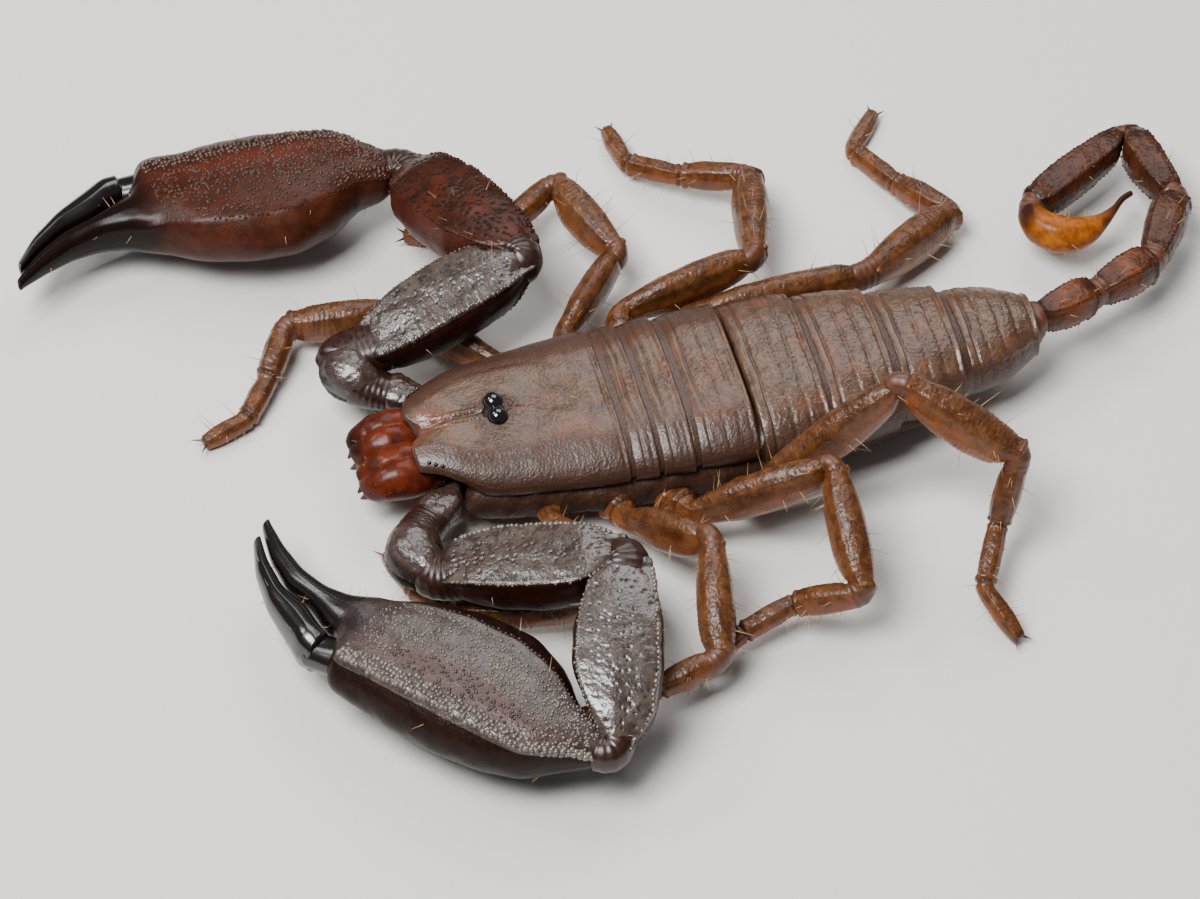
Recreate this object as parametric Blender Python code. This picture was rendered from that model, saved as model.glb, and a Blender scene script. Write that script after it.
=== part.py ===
"""A dwarf wood scorpion at life size, standing still with its tail curled to one side.

Every size below is in millimetres and every angle in degrees. The animal's head points along
-Y, its left side is +X, and its feet stand on Z = 0. The body is laid out first, from a point
on the floor under the back edge of the head shield, and the whole is then centred.
"""
import math

import bmesh
import bpy
from mathutils import Matrix, Vector

MM = 0.001
GAP = 0.07                      # between one plate or limb joint and the next
UP = Vector((0, 0, 1))

# Trunk: head shield, then seven plates. Each border is a distance behind the head shield.
SHIELD_LENGTH = 5.45
PLATE_BORDERS = (0.0, 0.75, 1.75, 3.45, 5.4, 7.4, 9.3, 11.6)
TAIL_SHIFT = -0.2               # the trunk bends this far to its right by the root of the tail
WIDEST_Z = 1.55                 # height of the trunk's widest line
BELLY_COVER = 1.42              # the first three plates end here, over the leg coxae
# Trunk sections: distance behind the shield, half width, back height, belly height
TRUNK = (
    (0.0, 2.84, 2.62, 0.60),
    (1.8, 2.88, 2.72, 0.58),
    (3.5, 2.82, 2.78, 0.56),
    (5.4, 2.62, 2.78, 0.56),
    (7.4, 2.22, 2.72, 0.62),
    (9.3, 1.76, 2.66, 0.76),
    (10.7, 1.36, 2.56, 0.98),
    (11.6, 0.72, 2.42, 1.30),
)
# Head shield sections: distance behind its front edge, half width, top height, lower height
SHIELD = (
    (0.0, 1.60, 2.36, 2.02),
    (0.25, 1.82, 2.46, 2.02),
    (0.95, 2.08, 2.54, 1.98),
    (1.6, 2.26, 2.54, 1.46),
    (3.1, 2.58, 2.54, 1.42),
    (4.3, 2.76, 2.60, 1.42),
    (5.1, 2.84, 2.64, 1.42),
    (5.45, 2.82, 2.62, 1.42),
)
SHIELD_NOTCH = 0.42             # depth of the notch in the middle of the front edge
NOTCH_WIDTH = 0.30
EYE_Y, EYE_X, EYE_R = -3.05, 0.26, 0.22
TUBERCLE_RISE = 0.10

# Underside: distance behind the shield, half width; bulges at the leg coxae
STERNUM = (
    (-5.1, 1.1), (-4.6, 1.75), (-3.9, 1.55), (-3.1, 1.55), (-2.2, 1.78), (-1.3, 1.75),
    (-0.4, 2.22), (0.4, 2.1), (1.2, 2.5), (2.0, 2.0), (2.8, 2.02), (3.32, 1.2),
)
STERNUM_TOP, STERNUM_BOTTOM = 1.22, 0.56
STERNUM_FRONT_TOP = 0.98        # lower in front, under the jaws
PECTINE_LENGTH, PECTINE_WIDTH, PECTINE_DEPTH = 1.7, 0.5, 0.16
PECTINE_PLACE, PECTINE_SPLAY = (1.0, 2.35), 28

# Jaws: distance ahead of their root, half width, half height and height over the floor
JAW_ROOT_Y, JAW_ROOT_X, JAW_TOE_IN = -4.55, 0.59, 0.022
JAW = (
    (0.0, 0.40, 0.34, 1.46),
    (0.35, 0.50, 0.44, 1.50),
    (1.1, 0.52, 0.50, 1.52),
    (1.6, 0.46, 0.46, 1.46),
    (2.0, 0.30, 0.30, 1.30),
    (2.25, 0.12, 0.12, 1.12),
)

# Tail: length, heading, pitch, half width and half height of each ring
TAIL_ROOT = Vector((-0.2, 11.66, 1.95))
TAIL = (
    (1.95, 109, -6, 0.48, 0.46),
    (2.15, 114, -5, 0.48, 0.48),
    (2.45, 147, -3, 0.50, 0.50),
    (2.60, 192, -2, 0.50, 0.50),
    (3.70, 299, -1, 0.50, 0.48),
)
TAIL_NECK = 0.68                # joint size as a share of the ring's own
# Telson: heading and length of each step from the last tail ring, and the radius there
TELSON_PATH = ((350, 0.0, 0.32), (354, 0.36, 0.44), (14, 0.40, 0.52), (44, 0.45, 0.55),
               (74, 0.45, 0.51), (100, 0.50, 0.40), (116, 0.50, 0.27), (126, 0.50, 0.17),
               (134, 0.50, 0.11), (112, 0.40, 0.07))

# Legs, first to fourth: lengths of trochanter, femur, patella, tibia, basitarsus and tarsus
LEG_LENGTHS = (
    (0.80, 3.2, 3.0, 1.7, 1.25, 1.5),
    (0.80, 3.0, 3.1, 1.7, 1.5, 1.55),
    (0.85, 4.0, 3.4, 1.95, 1.55, 1.65),
    (1.00, 5.2, 3.5, 2.0, 1.8, 1.7),
)
LEG_ROOTS = ((2.65, -2.2, 1.06), (3.1, -0.4, 1.12), (3.45, 1.2, 1.22), (3.1, 2.85, 0.98))
ROOT_DROP = 0.16                # the trochanter starts this much lower than it ends
LEG_THICKNESS = (0.86, 0.96, 1.0, 1.04)
FOOT_RISE = 0.19                # height of the claw tip's centre over the floor
# Pose of each leg: heading and pitch of femur, patella, tibia and basitarsus; the tarsus
# has a heading only, because it always comes down to the floor
LEG_POSE = {
    "left": (
        ((24, 8), (262, -15), (244, -12), (216, -4), 197),
        ((36, 25), (349, -18), (281, -8), (262, -28), 278),
        ((78, 27), (358, -19), (246, -27), (284, -12), 295),
        ((90, 42), (54, -22), (320, -64), (332, -16), 24),
    ),
    "right": (
        ((221, -2), (264, -3), (330, -10), (322, -8), 290),
        ((136, 7), (197, -4), (298, -12), (256, -18), 251),
        ((99, 8), (166, -10), (243, -13), (229, -12), 186),
        ((92, 2), (122, -6), (211, -10), (204, -8), 140),
    ),
}

# Pincer arms: sections of the coxa beside the jaws (place, half width, half height), then where
# it ends, where the trochanter bends and where the femur starts, left and right
COXA_SECTIONS = (
    ((1.62, -4.35, 1.40), 0.38, 0.28),
    ((1.80, -4.75, 1.42), 0.52, 0.34),
    ((2.05, -5.12, 1.42), 0.60, 0.38),
)
ARM_COXA = {"left": Vector((2.0, -5.15, 1.38)), "right": Vector((-2.0, -5.15, 1.38))}
ARM_TROCHANTER = {"left": Vector((3.25, -6.15, 1.45)), "right": Vector((-2.95, -6.35, 1.45))}
ARM_ROOT = {"left": Vector((4.1, -5.42, 1.72)), "right": Vector((-3.25, -5.6, 1.72))}
# Heading and pitch of the femur, patella and hand
ARM_POSE = {
    "left": ((66, 15.5), (-18, -12), (-144.5, -1.5)),
    "right": ((105, 16), (204.5, -11), (276.5, -2.5)),
}
ARM_ROLL = {"left": (0, 0, 0), "right": (0, 0, 8)}
TROCHANTER_NECKS = ((0.46, 0.46), (0.44, 0.46))
TROCHANTER_FAN = ((0.25, 0.66, 0.62), (0.5, 0.82, 0.72), (0.75, 0.64, 0.62))
HINGE_CLEARANCE = 0.12
COXA_REACH = 0.5                # the coxa ends this far past its last joint point
ARM_FEMUR, ARM_PATELLA = 4.6, 5.0
HAND_LENGTH = {"left": 11.3, "right": 10.7}

# Outlines along a limb piece: share of its length, then half sizes to the inner side, outer
# side, top and bottom, in millimetres
FEMUR_OUTLINE = (
    (0.12, 0.28, 0.28, 0.42, 0.46),
    (0.32, 0.37, 0.37, 0.62, 0.74),
    (0.62, 0.40, 0.40, 0.66, 0.78),
    (0.86, 0.37, 0.37, 0.55, 0.56),
)
PATELLA_OUTLINE = (
    (0.13, 0.40, 0.40, 0.50, 0.48),
    (0.36, 0.50, 0.50, 0.64, 0.70),
    (0.66, 0.52, 0.52, 0.64, 0.76),
    (0.88, 0.44, 0.44, 0.54, 0.58),
)
# Pieces of the foot: share of the length, half width, half height
TIBIA_OUTLINE = ((0.22, 0.36, 0.42), (0.6, 0.38, 0.44), (0.88, 0.33, 0.37))
BASITARSUS_OUTLINE = ((0.25, 0.31, 0.33), (0.82, 0.29, 0.31))
TARSUS_OUTLINE = ((0.22, 0.26, 0.28), (0.6, 0.27, 0.29), (0.82, 0.26, 0.30), (1.0, 0.21, 0.23))
FOOT_NECK = (0.25, 0.26)
ARM_FEMUR_OUTLINE = (
    (0.12, 0.80, 0.80, 0.55, 0.58),
    (0.32, 1.00, 1.00, 0.68, 0.78),
    (0.60, 1.06, 1.06, 0.72, 0.84),
    (0.82, 0.98, 0.98, 0.72, 0.78),
)
ARM_PATELLA_OUTLINE = (
    (0.12, 0.92, 0.84, 0.74, 0.74),
    (0.34, 1.18, 1.10, 0.84, 0.88),
    (0.60, 1.26, 1.16, 0.84, 0.90),
    (0.84, 1.06, 0.96, 0.74, 0.78),
)
# The hand is given by the distance of its inner and outer edge from the line that joins the
# wrist and the fingertips, outwards positive, then its top and bottom
HAND_OUTLINE = (
    (0.00, -0.42, 0.42, 0.45, 0.45),
    (0.05, -0.50, 1.05, 0.62, 0.70),
    (0.12, -0.50, 1.95, 0.82, 0.98),
    (0.20, -1.12, 2.42, 0.96, 1.12),
    (0.30, -1.42, 2.74, 1.04, 1.18),
    (0.42, -1.20, 2.90, 1.04, 1.16),
    (0.53, -0.66, 2.84, 0.96, 1.08),
    (0.60, -0.06, 2.70, 0.84, 0.96),
)
FIXED_FINGER = (
    (0.645, 0.28, 1.80, 0.74, 0.80),
    (0.69, 0.58, 1.68, 0.64, 0.68),
    (0.75, 0.76, 1.44, 0.54, 0.56),
    (0.83, 0.66, 1.32, 0.42, 0.44),
    (0.91, 0.36, 0.90, 0.30, 0.32),
    (0.97, 0.04, 0.40, 0.18, 0.18),
    (1.00, -0.10, 0.06, 0.06, 0.06),
)
MOVABLE_FINGER = (
    (0.65, 1.98, 2.66, 0.44, 0.50),
    (0.69, 1.90, 2.68, 0.58, 0.64),
    (0.75, 1.60, 2.42, 0.50, 0.52),
    (0.83, 1.46, 2.04, 0.40, 0.42),
    (0.91, 1.00, 1.46, 0.30, 0.30),
    (0.97, 0.50, 0.78, 0.18, 0.18),
    (1.00, 0.16, 0.30, 0.06, 0.06),
)

# Colours as base colour, then roughness
SHELL = ((0.060, 0.036, 0.026), 0.45)
SHELL_DARK = ((0.030, 0.014, 0.011), 0.32)
LEG_BROWN = ((0.170, 0.060, 0.022), 0.38)
LEG_PALE = ((0.300, 0.120, 0.040), 0.40)
JAW_RED = ((0.220, 0.040, 0.012), 0.28)
TAIL_BROWN = ((0.085, 0.028, 0.016), 0.34)
STING_ORANGE = ((0.420, 0.130, 0.022), 0.30)
EYE_BLACK = ((0.004, 0.004, 0.005), 0.06)
COMB_PALE = ((0.420, 0.260, 0.130), 0.50)


def start_scene():
    """Empties the scene and makes the collection and the empty that carries the model."""
    for old in list(bpy.data.objects):
        bpy.data.objects.remove(old, do_unlink=True)
    collection = bpy.data.collections.new("scorpion")
    bpy.context.scene.collection.children.link(collection)
    carrier = bpy.data.objects.new("scorpion_origin", None)
    collection.objects.link(carrier)
    return collection, carrier


def material(name, look):
    """A plain Principled material with the piece's own colour."""
    colour, roughness = look
    made = bpy.data.materials.new(name)
    made.use_nodes = True
    shader = made.node_tree.nodes["Principled BSDF"]
    shader.inputs["Base Color"].default_value = (*colour, 1)
    shader.inputs["Roughness"].default_value = roughness
    return made


def add_object(name, bm, look):
    """Turns the mesh, built in millimetres, into a named object on the carrier."""
    bmesh.ops.recalc_face_normals(bm, faces=bm.faces)
    bmesh.ops.scale(bm, vec=(MM, MM, MM), verts=bm.verts)
    mesh = bpy.data.meshes.new(name)
    bm.to_mesh(mesh)
    bm.free()
    mesh.shade_smooth()
    mesh.set_sharp_from_angle(angle=math.radians(50))
    mesh.materials.append(material(name, look))
    obj = bpy.data.objects.new(name, mesh)
    COLLECTION.objects.link(obj)
    obj.parent = CARRIER
    return obj


def section(sides, inner, outer, top, bottom, square=2.0, turn=0.0):
    """A superellipse as (across, above) pairs; each side and the top and bottom differ.

    A turn of half a step gives it a flat underneath in place of a corner.
    """
    points = []
    for k in range(sides):
        angle = math.tau * (k + turn) / sides
        across, above = math.cos(angle), math.sin(angle)
        x = math.copysign(abs(across) ** (2 / square), across) * (outer if across > 0 else inner)
        z = math.copysign(abs(above) ** (2 / square), above) * (top if above > 0 else bottom)
        points.append((x, z))
    return points


def loft(name, rings, look):
    """A closed skin through rings of equal count, with flat ends."""
    bm = bmesh.new()
    loops = [[bm.verts.new(point) for point in ring] for ring in rings]
    count = len(loops[0])
    for near, far in zip(loops, loops[1:]):
        for i in range(count):
            j = (i + 1) % count
            bm.faces.new((near[i], near[j], far[j], far[i]))
    bm.faces.new(loops[0])
    bm.faces.new(loops[-1])
    return add_object(name, bm, look)


def direction(heading, pitch):
    """A unit vector from a heading on the floor and a pitch above it."""
    turn, rise = math.radians(heading), math.radians(pitch)
    return Vector((math.cos(turn) * math.cos(rise), math.sin(turn) * math.cos(rise), math.sin(rise)))


def frame_at(forward, roll=0.0):
    """The sideways and upward axes of a ring that faces forward."""
    side = forward.cross(UP).normalized()
    above = side.cross(forward).normalized()
    turn = Matrix.Rotation(math.radians(roll), 3, forward)
    return turn @ side, turn @ above


def ring_at(centre, forward, shape, roll=0.0):
    """The ring of a section about a centre, square to the forward direction."""
    side, above = frame_at(forward, roll)
    return [centre + side * x + above * z for x, z in shape]


def between(table, place):
    """The values of a table at a place, by a smooth cubic through its rows."""
    rows = list(table)
    last = len(rows) - 1
    k = next((i for i in range(last) if place <= rows[i + 1][0]), last - 1)
    before, start = rows[max(k - 1, 0)], rows[k]
    end, after = rows[k + 1], rows[min(k + 2, last)]
    width = end[0] - start[0]
    t = min(max((place - start[0]) / width, 0.0), 1.0)
    values = []
    for a, b, c, d in zip(before[1:], start[1:], end[1:], after[1:]):
        slope_start = (c - a) * width / (end[0] - before[0])
        slope_end = (d - b) * width / (after[0] - start[0])
        cubic = ((2 * t - 3) * t * t + 1) * b + ((t - 2) * t + 1) * t * slope_start
        values.append(cubic + (3 - 2 * t) * t * t * c + (t - 1) * t * t * slope_end)
    return values


# ---------------------------------------------------------------- trunk

def trunk_centre(y):
    """How far the trunk's middle line is off the head's."""
    return TAIL_SHIFT * (max(y, 0.0) / PLATE_BORDERS[-1]) ** 2


def trunk_ring(y, inset, covered):
    """One ring of the trunk, drawn in by the inset; covered rings stop above the coxae."""
    half, back, belly = between(TRUNK, y)
    half, back = half - inset, back - inset
    floor = WIDEST_Z - (BELLY_COVER if covered else belly + inset)
    sides = 20
    shape = section(sides, half, half, back - WIDEST_Z, floor, 2.5)
    if covered:
        shape = [(x, max(z, -floor)) for x, z in section(sides, half, half, back - WIDEST_Z, floor, 4)]
        shape = [(x, z) if z < 0 else top for (x, z), top in
                 zip(shape, section(sides, half, half, back - WIDEST_Z, floor, 2.5))]
    return [Vector((trunk_centre(y) + x, y, WIDEST_Z + z)) for x, z in shape]


def build_plates():
    """Seven trunk plates; each starts a little low and ends in a full-size back edge."""
    for number, (front, back) in enumerate(zip(PLATE_BORDERS, PLATE_BORDERS[1:]), 1):
        front, back = front + GAP / 2, back - GAP / 2
        length = back - front
        covered = number <= 3
        steps = ((0.0, 0.12), (0.16, 0.05), (0.55, 0.0), (0.9, 0.0), (1.0, 0.05))
        rings = [trunk_ring(front + length * share, inset, covered) for share, inset in steps]
        loft(f"trunk_plate_{number}", rings, SHELL)


def shield_ring(distance):
    """One ring of the head shield, with the notch in its front edge and the eye tubercle."""
    half, top, low = between(SHIELD, distance)
    rise, floor = top - WIDEST_Z, WIDEST_Z - low
    ring = []
    for k in range(24):
        angle = math.tau * k / 24
        across, above = math.cos(angle), math.sin(angle)
        x = math.copysign(abs(across) ** 0.8, across) * half
        z = abs(above) ** 0.8 * rise if above > 0 else -abs(above) ** 0.5 * floor
        fade = max(0.0, 1 - distance / 1.9) ** 2
        notch = SHIELD_NOTCH * math.exp(-((x / NOTCH_WIDTH) ** 2))
        corner = 0.35 * abs(x / half) ** 4
        y = distance - SHIELD_LENGTH + (notch + corner) * fade
        if above > 0:
            near_eyes = math.exp(-((y - EYE_Y) / 0.45) ** 2 - (x / 0.32) ** 2)
            z += TUBERCLE_RISE * near_eyes
        ring.append(Vector((x, y, WIDEST_Z + z)))
    return ring


def build_shield():
    """The head shield."""
    stations = (0.0, 0.3, 0.6, 1.1, 1.6, 2.0, 2.35, 2.7, 3.3, 4.1, 4.8, 5.1, SHIELD_LENGTH - GAP / 2)
    loft("head_shield", [shield_ring(distance) for distance in stations], SHELL)


def build_eyes():
    """The two middle eyes, as domes on the tubercle."""
    top = between(SHIELD, EYE_Y + SHIELD_LENGTH)[1] + TUBERCLE_RISE
    for side, sign in (("left", 1), ("right", -1)):
        bm = bmesh.new()
        bmesh.ops.create_uvsphere(bm, u_segments=12, v_segments=8, radius=EYE_R)
        geometry = bm.verts[:] + bm.edges[:] + bm.faces[:]
        cut = bmesh.ops.bisect_plane(
            bm, geom=geometry, dist=1e-4, plane_co=(0, 0, -0.02), plane_no=(0, 0, -1), clear_outer=True)
        rim = [item for item in cut["geom_cut"] if isinstance(item, bmesh.types.BMEdge)]
        bmesh.ops.contextual_create(bm, geom=rim)
        lean = Matrix.Rotation(sign * math.radians(24), 4, "Y")
        place = Matrix.Translation((sign * EYE_X, EYE_Y, top - 0.01))
        bmesh.ops.transform(bm, matrix=place @ lean, verts=bm.verts)
        add_object(f"eye_{side}", bm, EYE_BLACK)


def build_underside():
    """The breast plate with the leg coxae, and the pair of comb-shaped pectines."""
    rings = []
    for y, width in STERNUM:
        top = STERNUM_FRONT_TOP if y < -3.5 else STERNUM_TOP
        middle, half = (top + STERNUM_BOTTOM) / 2, (top - STERNUM_BOTTOM) / 2
        shape = section(14, width, width, half, half, 3.2)
        rings.append([Vector((x, y, middle + z)) for x, z in shape])
    loft("coxae", rings, LEG_PALE)
    for side, sign in (("left", 1), ("right", -1)):
        bm = bmesh.new()
        bmesh.ops.create_cube(bm, size=1.0)
        bmesh.ops.scale(bm, vec=(PECTINE_LENGTH, PECTINE_WIDTH, PECTINE_DEPTH), verts=bm.verts)
        bmesh.ops.bevel(bm, geom=bm.edges[:], offset=0.05, segments=1, affect="EDGES",
                        profile=0.5, material=-1)
        splay = Matrix.Rotation(sign * math.radians(PECTINE_SPLAY), 4, "Z")
        below = STERNUM_BOTTOM - GAP - PECTINE_DEPTH / 2
        place = Matrix.Translation((sign * PECTINE_PLACE[0], PECTINE_PLACE[1], below))
        bmesh.ops.transform(bm, matrix=place @ splay, verts=bm.verts)
        add_object(f"pectine_{side}", bm, COMB_PALE)


def build_jaws():
    """The two chelicerae under the front edge of the head shield."""
    for side, sign in (("left", 1), ("right", -1)):
        rings = []
        for ahead, wide, tall, z in JAW:
            centre = Vector((sign * (JAW_ROOT_X - JAW_TOE_IN * ahead), JAW_ROOT_Y - ahead, z))
            rings.append(ring_at(centre, Vector((0, -1, 0)), section(10, wide, wide, tall, tall, 2.4)))
        loft(f"jaw_{side}", rings, JAW_RED)


# ---------------------------------------------------------------- limbs

def joint_normal(before, after):
    """The direction square to the plane that halves a joint's angle."""
    return (before + after).normalized()


def piece_rings(start, end, outline, sides, square, mirrored, roll=0.0, scale=1.0):
    """Rings of one limb piece between two joints."""
    forward = (end - start).normalized()
    rings = []
    for share, inner, outer, top, bottom in outline:
        sizes = (outer, inner) if mirrored else (inner, outer)
        shape = section(sides, sizes[0] * scale, sizes[1] * scale, top * scale, bottom * scale, square)
        rings.append(ring_at(start + (end - start) * share, forward, shape, roll))
    return rings


def keep_side(rings, joint, normal, sign):
    """Draws back each point that crosses a joint's plane, so that a seam stays open."""
    kept = []
    for ring in rings:
        moved = []
        for point in ring:
            past = (point - joint).dot(normal) * sign + GAP / 2
            moved.append(point - normal * sign * past if past > 0 else point)
        kept.append(moved)
    return kept


def end_ring(joint, normal, away, size, sides, square=2.0, turn=0.0):
    """An even ring some way along the normal from a joint, square to it."""
    wide, tall = size
    return ring_at(joint + normal * away, normal, section(sides, wide, wide, tall, tall, square, turn))


def build_leg(side, number):
    """One leg as femur with trochanter, patella, and foot; the foot has three bends."""
    sign = 1 if side == "left" else -1
    lengths = LEG_LENGTHS[number]
    pose = LEG_POSE[side][number]
    thick = LEG_THICKNESS[number]
    x, y, z = LEG_ROOTS[number]
    hip = Vector((sign * x, y, z))
    points = [hip - Vector((sign * lengths[0], 0.1 * (number - 1.5), ROOT_DROP)), hip]
    for length, (heading, pitch) in zip(lengths[1:5], pose[:4]):
        points.append(points[-1] + direction(heading, pitch) * length)
    drop = math.degrees(math.asin((FOOT_RISE - points[-1].z) / lengths[5]))
    points.append(points[-1] + direction(pose[4], drop) * lengths[5])
    ways = [(b - a).normalized() for a, b in zip(points, points[1:])]
    knee = joint_normal(ways[1], ways[2])
    ankle = joint_normal(ways[2], ways[3])
    stem = f"leg_{side}_{number + 1}"
    sides = 10

    start = points[0] + ways[0] * GAP
    rings = [end_ring(start, ways[0], 0, (0.38 * thick, 0.36 * thick), sides)]
    rings.append(end_ring(points[0] + ways[0] * 0.45 * lengths[0], ways[0], 0,
                          (0.46 * thick, 0.46 * thick), sides))
    rings.append(end_ring(hip, joint_normal(ways[0], ways[1]), 0, (0.30 * thick, 0.34 * thick), sides))
    rings += piece_rings(hip, points[2], FEMUR_OUTLINE, sides, 2.2, sign < 0, scale=thick)
    rings.append(end_ring(points[2], knee, -GAP / 2, (0.27 * thick, 0.32 * thick), sides))
    loft(f"{stem}_femur", keep_side(rings, points[2], knee, 1), LEG_BROWN)

    rings = [end_ring(points[2], knee, GAP / 2, (0.27 * thick, 0.32 * thick), sides)]
    rings += piece_rings(points[2], points[3], PATELLA_OUTLINE, sides, 2.2, sign < 0, scale=thick)
    rings.append(end_ring(points[3], ankle, -GAP / 2, (0.27 * thick, 0.30 * thick), sides))
    rings = keep_side(rings, points[2], knee, -1)
    loft(f"{stem}_patella", keep_side(rings, points[3], ankle, 1), LEG_BROWN)

    build_foot(f"{stem}_foot", points[3:], ways[3:], ankle, thick)


def build_foot(name, points, ways, ankle, thick):
    """Tibia, basitarsus and tarsus in one piece, with a small flat sole on the floor."""
    sides, square, turn = 8, 2.2, 0.5
    rings = [end_ring(points[0], ankle, GAP / 2, (0.27 * thick, 0.30 * thick), sides, square, turn)]
    for number, outline in enumerate((TIBIA_OUTLINE, BASITARSUS_OUTLINE, TARSUS_OUTLINE)):
        start, end = points[number], points[number + 1]
        if number > 0:
            bend = joint_normal(ways[number - 1], ways[number])
            rings.append(end_ring(start, bend, 0, FOOT_NECK, sides, square, turn))
        for share, wide, tall in outline:
            rings.append(end_ring(start.lerp(end, share), ways[number], 0, (wide, tall), sides, square, turn))
    rings = [[Vector((p.x, p.y, max(p.z, 0.0))) for p in ring] for ring in rings]
    for ring in rings[-2:]:
        for point in sorted(ring, key=lambda p: p.z)[:2]:
            point.z = 0.0
    loft(name, keep_side(rings, points[0], ankle, -1), LEG_BROWN)


def hand_rings(wrist, forward, length, outline, side, roll, sides):
    """Rings along the hand, whose outline stands off the wrist-to-fingertip line."""
    across, above = frame_at(forward, roll)
    outward = across if side == "right" else -across
    rings = []
    for share, inner, outer, top, bottom in outline:
        half = (outer - inner) / 2
        middle = wrist + forward * length * share + outward * (outer + inner) / 2
        shape = section(sides, half, half, top, bottom, 2.5)
        rings.append([middle + across * x + above * z for x, z in shape])
    return rings


def fan_rings(first, first_way, last, last_way, sides):
    """Rings that turn a sharp corner like a fan, each one just outside the inner corner."""
    turn = first_way.cross(last_way)
    outer = 1 if turn.z > 0 else -1
    hinges = []
    for place, way, (wide, _) in ((first, first_way, TROCHANTER_NECKS[0]), (last, last_way, TROCHANTER_NECKS[1])):
        hinges.append(place - way.cross(Vector((0, 0, 1))).normalized() * outer * wide)
    rings = []
    for share, wide, tall in TROCHANTER_FAN:
        way = first_way.slerp(last_way, share)
        away = way.cross(Vector((0, 0, 1))).normalized() * outer
        centre = hinges[0].lerp(hinges[1], share) + away * (wide + HINGE_CLEARANCE)
        rings.append(end_ring(centre, way, 0, (wide, tall), sides, 2.2))
    return rings


def build_arm(side):
    """One pincer arm: coxa, trochanter, femur, patella, hand with fixed finger, movable finger."""
    mirrored = side == "right"
    femur, patella, hand = (direction(*angles) for angles in ARM_POSE[side])
    rolls = ARM_ROLL[side]
    coxa, bend, root = ARM_COXA[side], ARM_TROCHANTER[side], ARM_ROOT[side]
    elbow = root + femur * ARM_FEMUR
    wrist = elbow + patella * ARM_PATELLA
    out, back = (bend - coxa).normalized(), (root - bend).normalized()
    root_plane = joint_normal(back, femur)
    elbow_plane = joint_normal(femur, patella)
    wrist_plane = joint_normal(patella, hand)
    sides = 12

    sign = -1 if mirrored else 1
    rings = []
    for (x, y, z), wide, tall in COXA_SECTIONS:
        forward = (direction(-90, 0) + out * max(0.0, -y - 4.35)).normalized()
        rings.append(end_ring(Vector((sign * x, y, z)), forward, 0, (wide, tall), sides, 2.6))
    rings.append(end_ring(coxa, out, COXA_REACH - GAP, (0.50, 0.44), sides, 2.3))
    loft(f"arm_{side}_coxa", rings, SHELL_DARK)

    rings = [end_ring(coxa, out, COXA_REACH, TROCHANTER_NECKS[0], sides)]
    rings += fan_rings(coxa + out * COXA_REACH, out, root, root_plane, sides)
    rings.append(end_ring(root, root_plane, -GAP / 2, TROCHANTER_NECKS[1], sides))
    loft(f"arm_{side}_trochanter", keep_side(rings, root, root_plane, 1), SHELL_DARK)

    rings = [end_ring(root, root_plane, GAP / 2, (0.50, 0.48), sides)]
    rings += piece_rings(root, elbow, ARM_FEMUR_OUTLINE, sides, 3.0, mirrored, rolls[0])
    rings.append(end_ring(elbow, elbow_plane, -GAP / 2, (0.62, 0.60), sides))
    rings = keep_side(rings, root, root_plane, -1)
    loft(f"arm_{side}_femur", keep_side(rings, elbow, elbow_plane, 1), SHELL_DARK)

    rings = [end_ring(elbow, elbow_plane, GAP / 2, (0.62, 0.60), sides)]
    rings += piece_rings(elbow, wrist, ARM_PATELLA_OUTLINE, sides, 2.7, mirrored, rolls[1])
    rings.append(end_ring(wrist, wrist_plane, -GAP / 2, (0.36, 0.42), sides))
    rings = keep_side(rings, elbow, elbow_plane, -1)
    loft(f"arm_{side}_patella", keep_side(rings, wrist, wrist_plane, 1), SHELL_DARK)

    length = HAND_LENGTH[side]
    sides = 14
    rings = hand_rings(wrist, hand, length, HAND_OUTLINE + FIXED_FINGER, side, rolls[2], sides)
    rings[0] = end_ring(wrist, wrist_plane, GAP / 2, (0.36, 0.42), sides)
    loft(f"arm_{side}_hand", keep_side(rings, wrist, wrist_plane, -1), SHELL_DARK)
    rings = hand_rings(wrist, hand, length, MOVABLE_FINGER, side, rolls[2], 10)
    loft(f"arm_{side}_finger", rings, SHELL_DARK)


def build_tail():
    """Five tail rings and the telson with its sting."""
    joint = TAIL_ROOT.copy()
    ways = [direction(heading, pitch) for _, heading, pitch, _, _ in TAIL]
    sting_way = direction(TELSON_PATH[0][0], 0)
    planes = [ways[0]] + [joint_normal(a, b) for a, b in zip(ways, ways[1:] + [sting_way])]
    sides = 12
    for number, (length, _, _, wide, tall) in enumerate(TAIL):
        end = joint + ways[number] * length
        neck = (wide * TAIL_NECK, tall * TAIL_NECK)
        outline = ((0.18, wide * 0.9, wide * 0.9, tall * 0.9, tall * 0.9),
                   (0.5, wide, wide, tall, tall), (0.86, wide, wide, tall, tall))
        rings = [end_ring(joint, planes[number], GAP / 2, neck, sides)]
        rings += piece_rings(joint, end, outline, sides, 2.6, False)
        rings.append(end_ring(end, planes[number + 1], -GAP / 2, neck, sides))
        rings = keep_side(rings, joint, planes[number], -1)
        loft(f"tail_{number + 1}", keep_side(rings, end, planes[number + 1], 1), TAIL_BROWN)
        joint = end
    centre = joint + planes[-1] * GAP / 2
    rings = []
    for heading, step, radius in TELSON_PATH:
        way = direction(heading, 0)
        centre = centre + way * step
        rings.append(end_ring(centre, way if rings else planes[-1], 0, (radius, radius), sides))
    loft("telson", keep_side(rings[:3], joint, planes[-1], -1) + rings[3:], STING_ORANGE)


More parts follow.
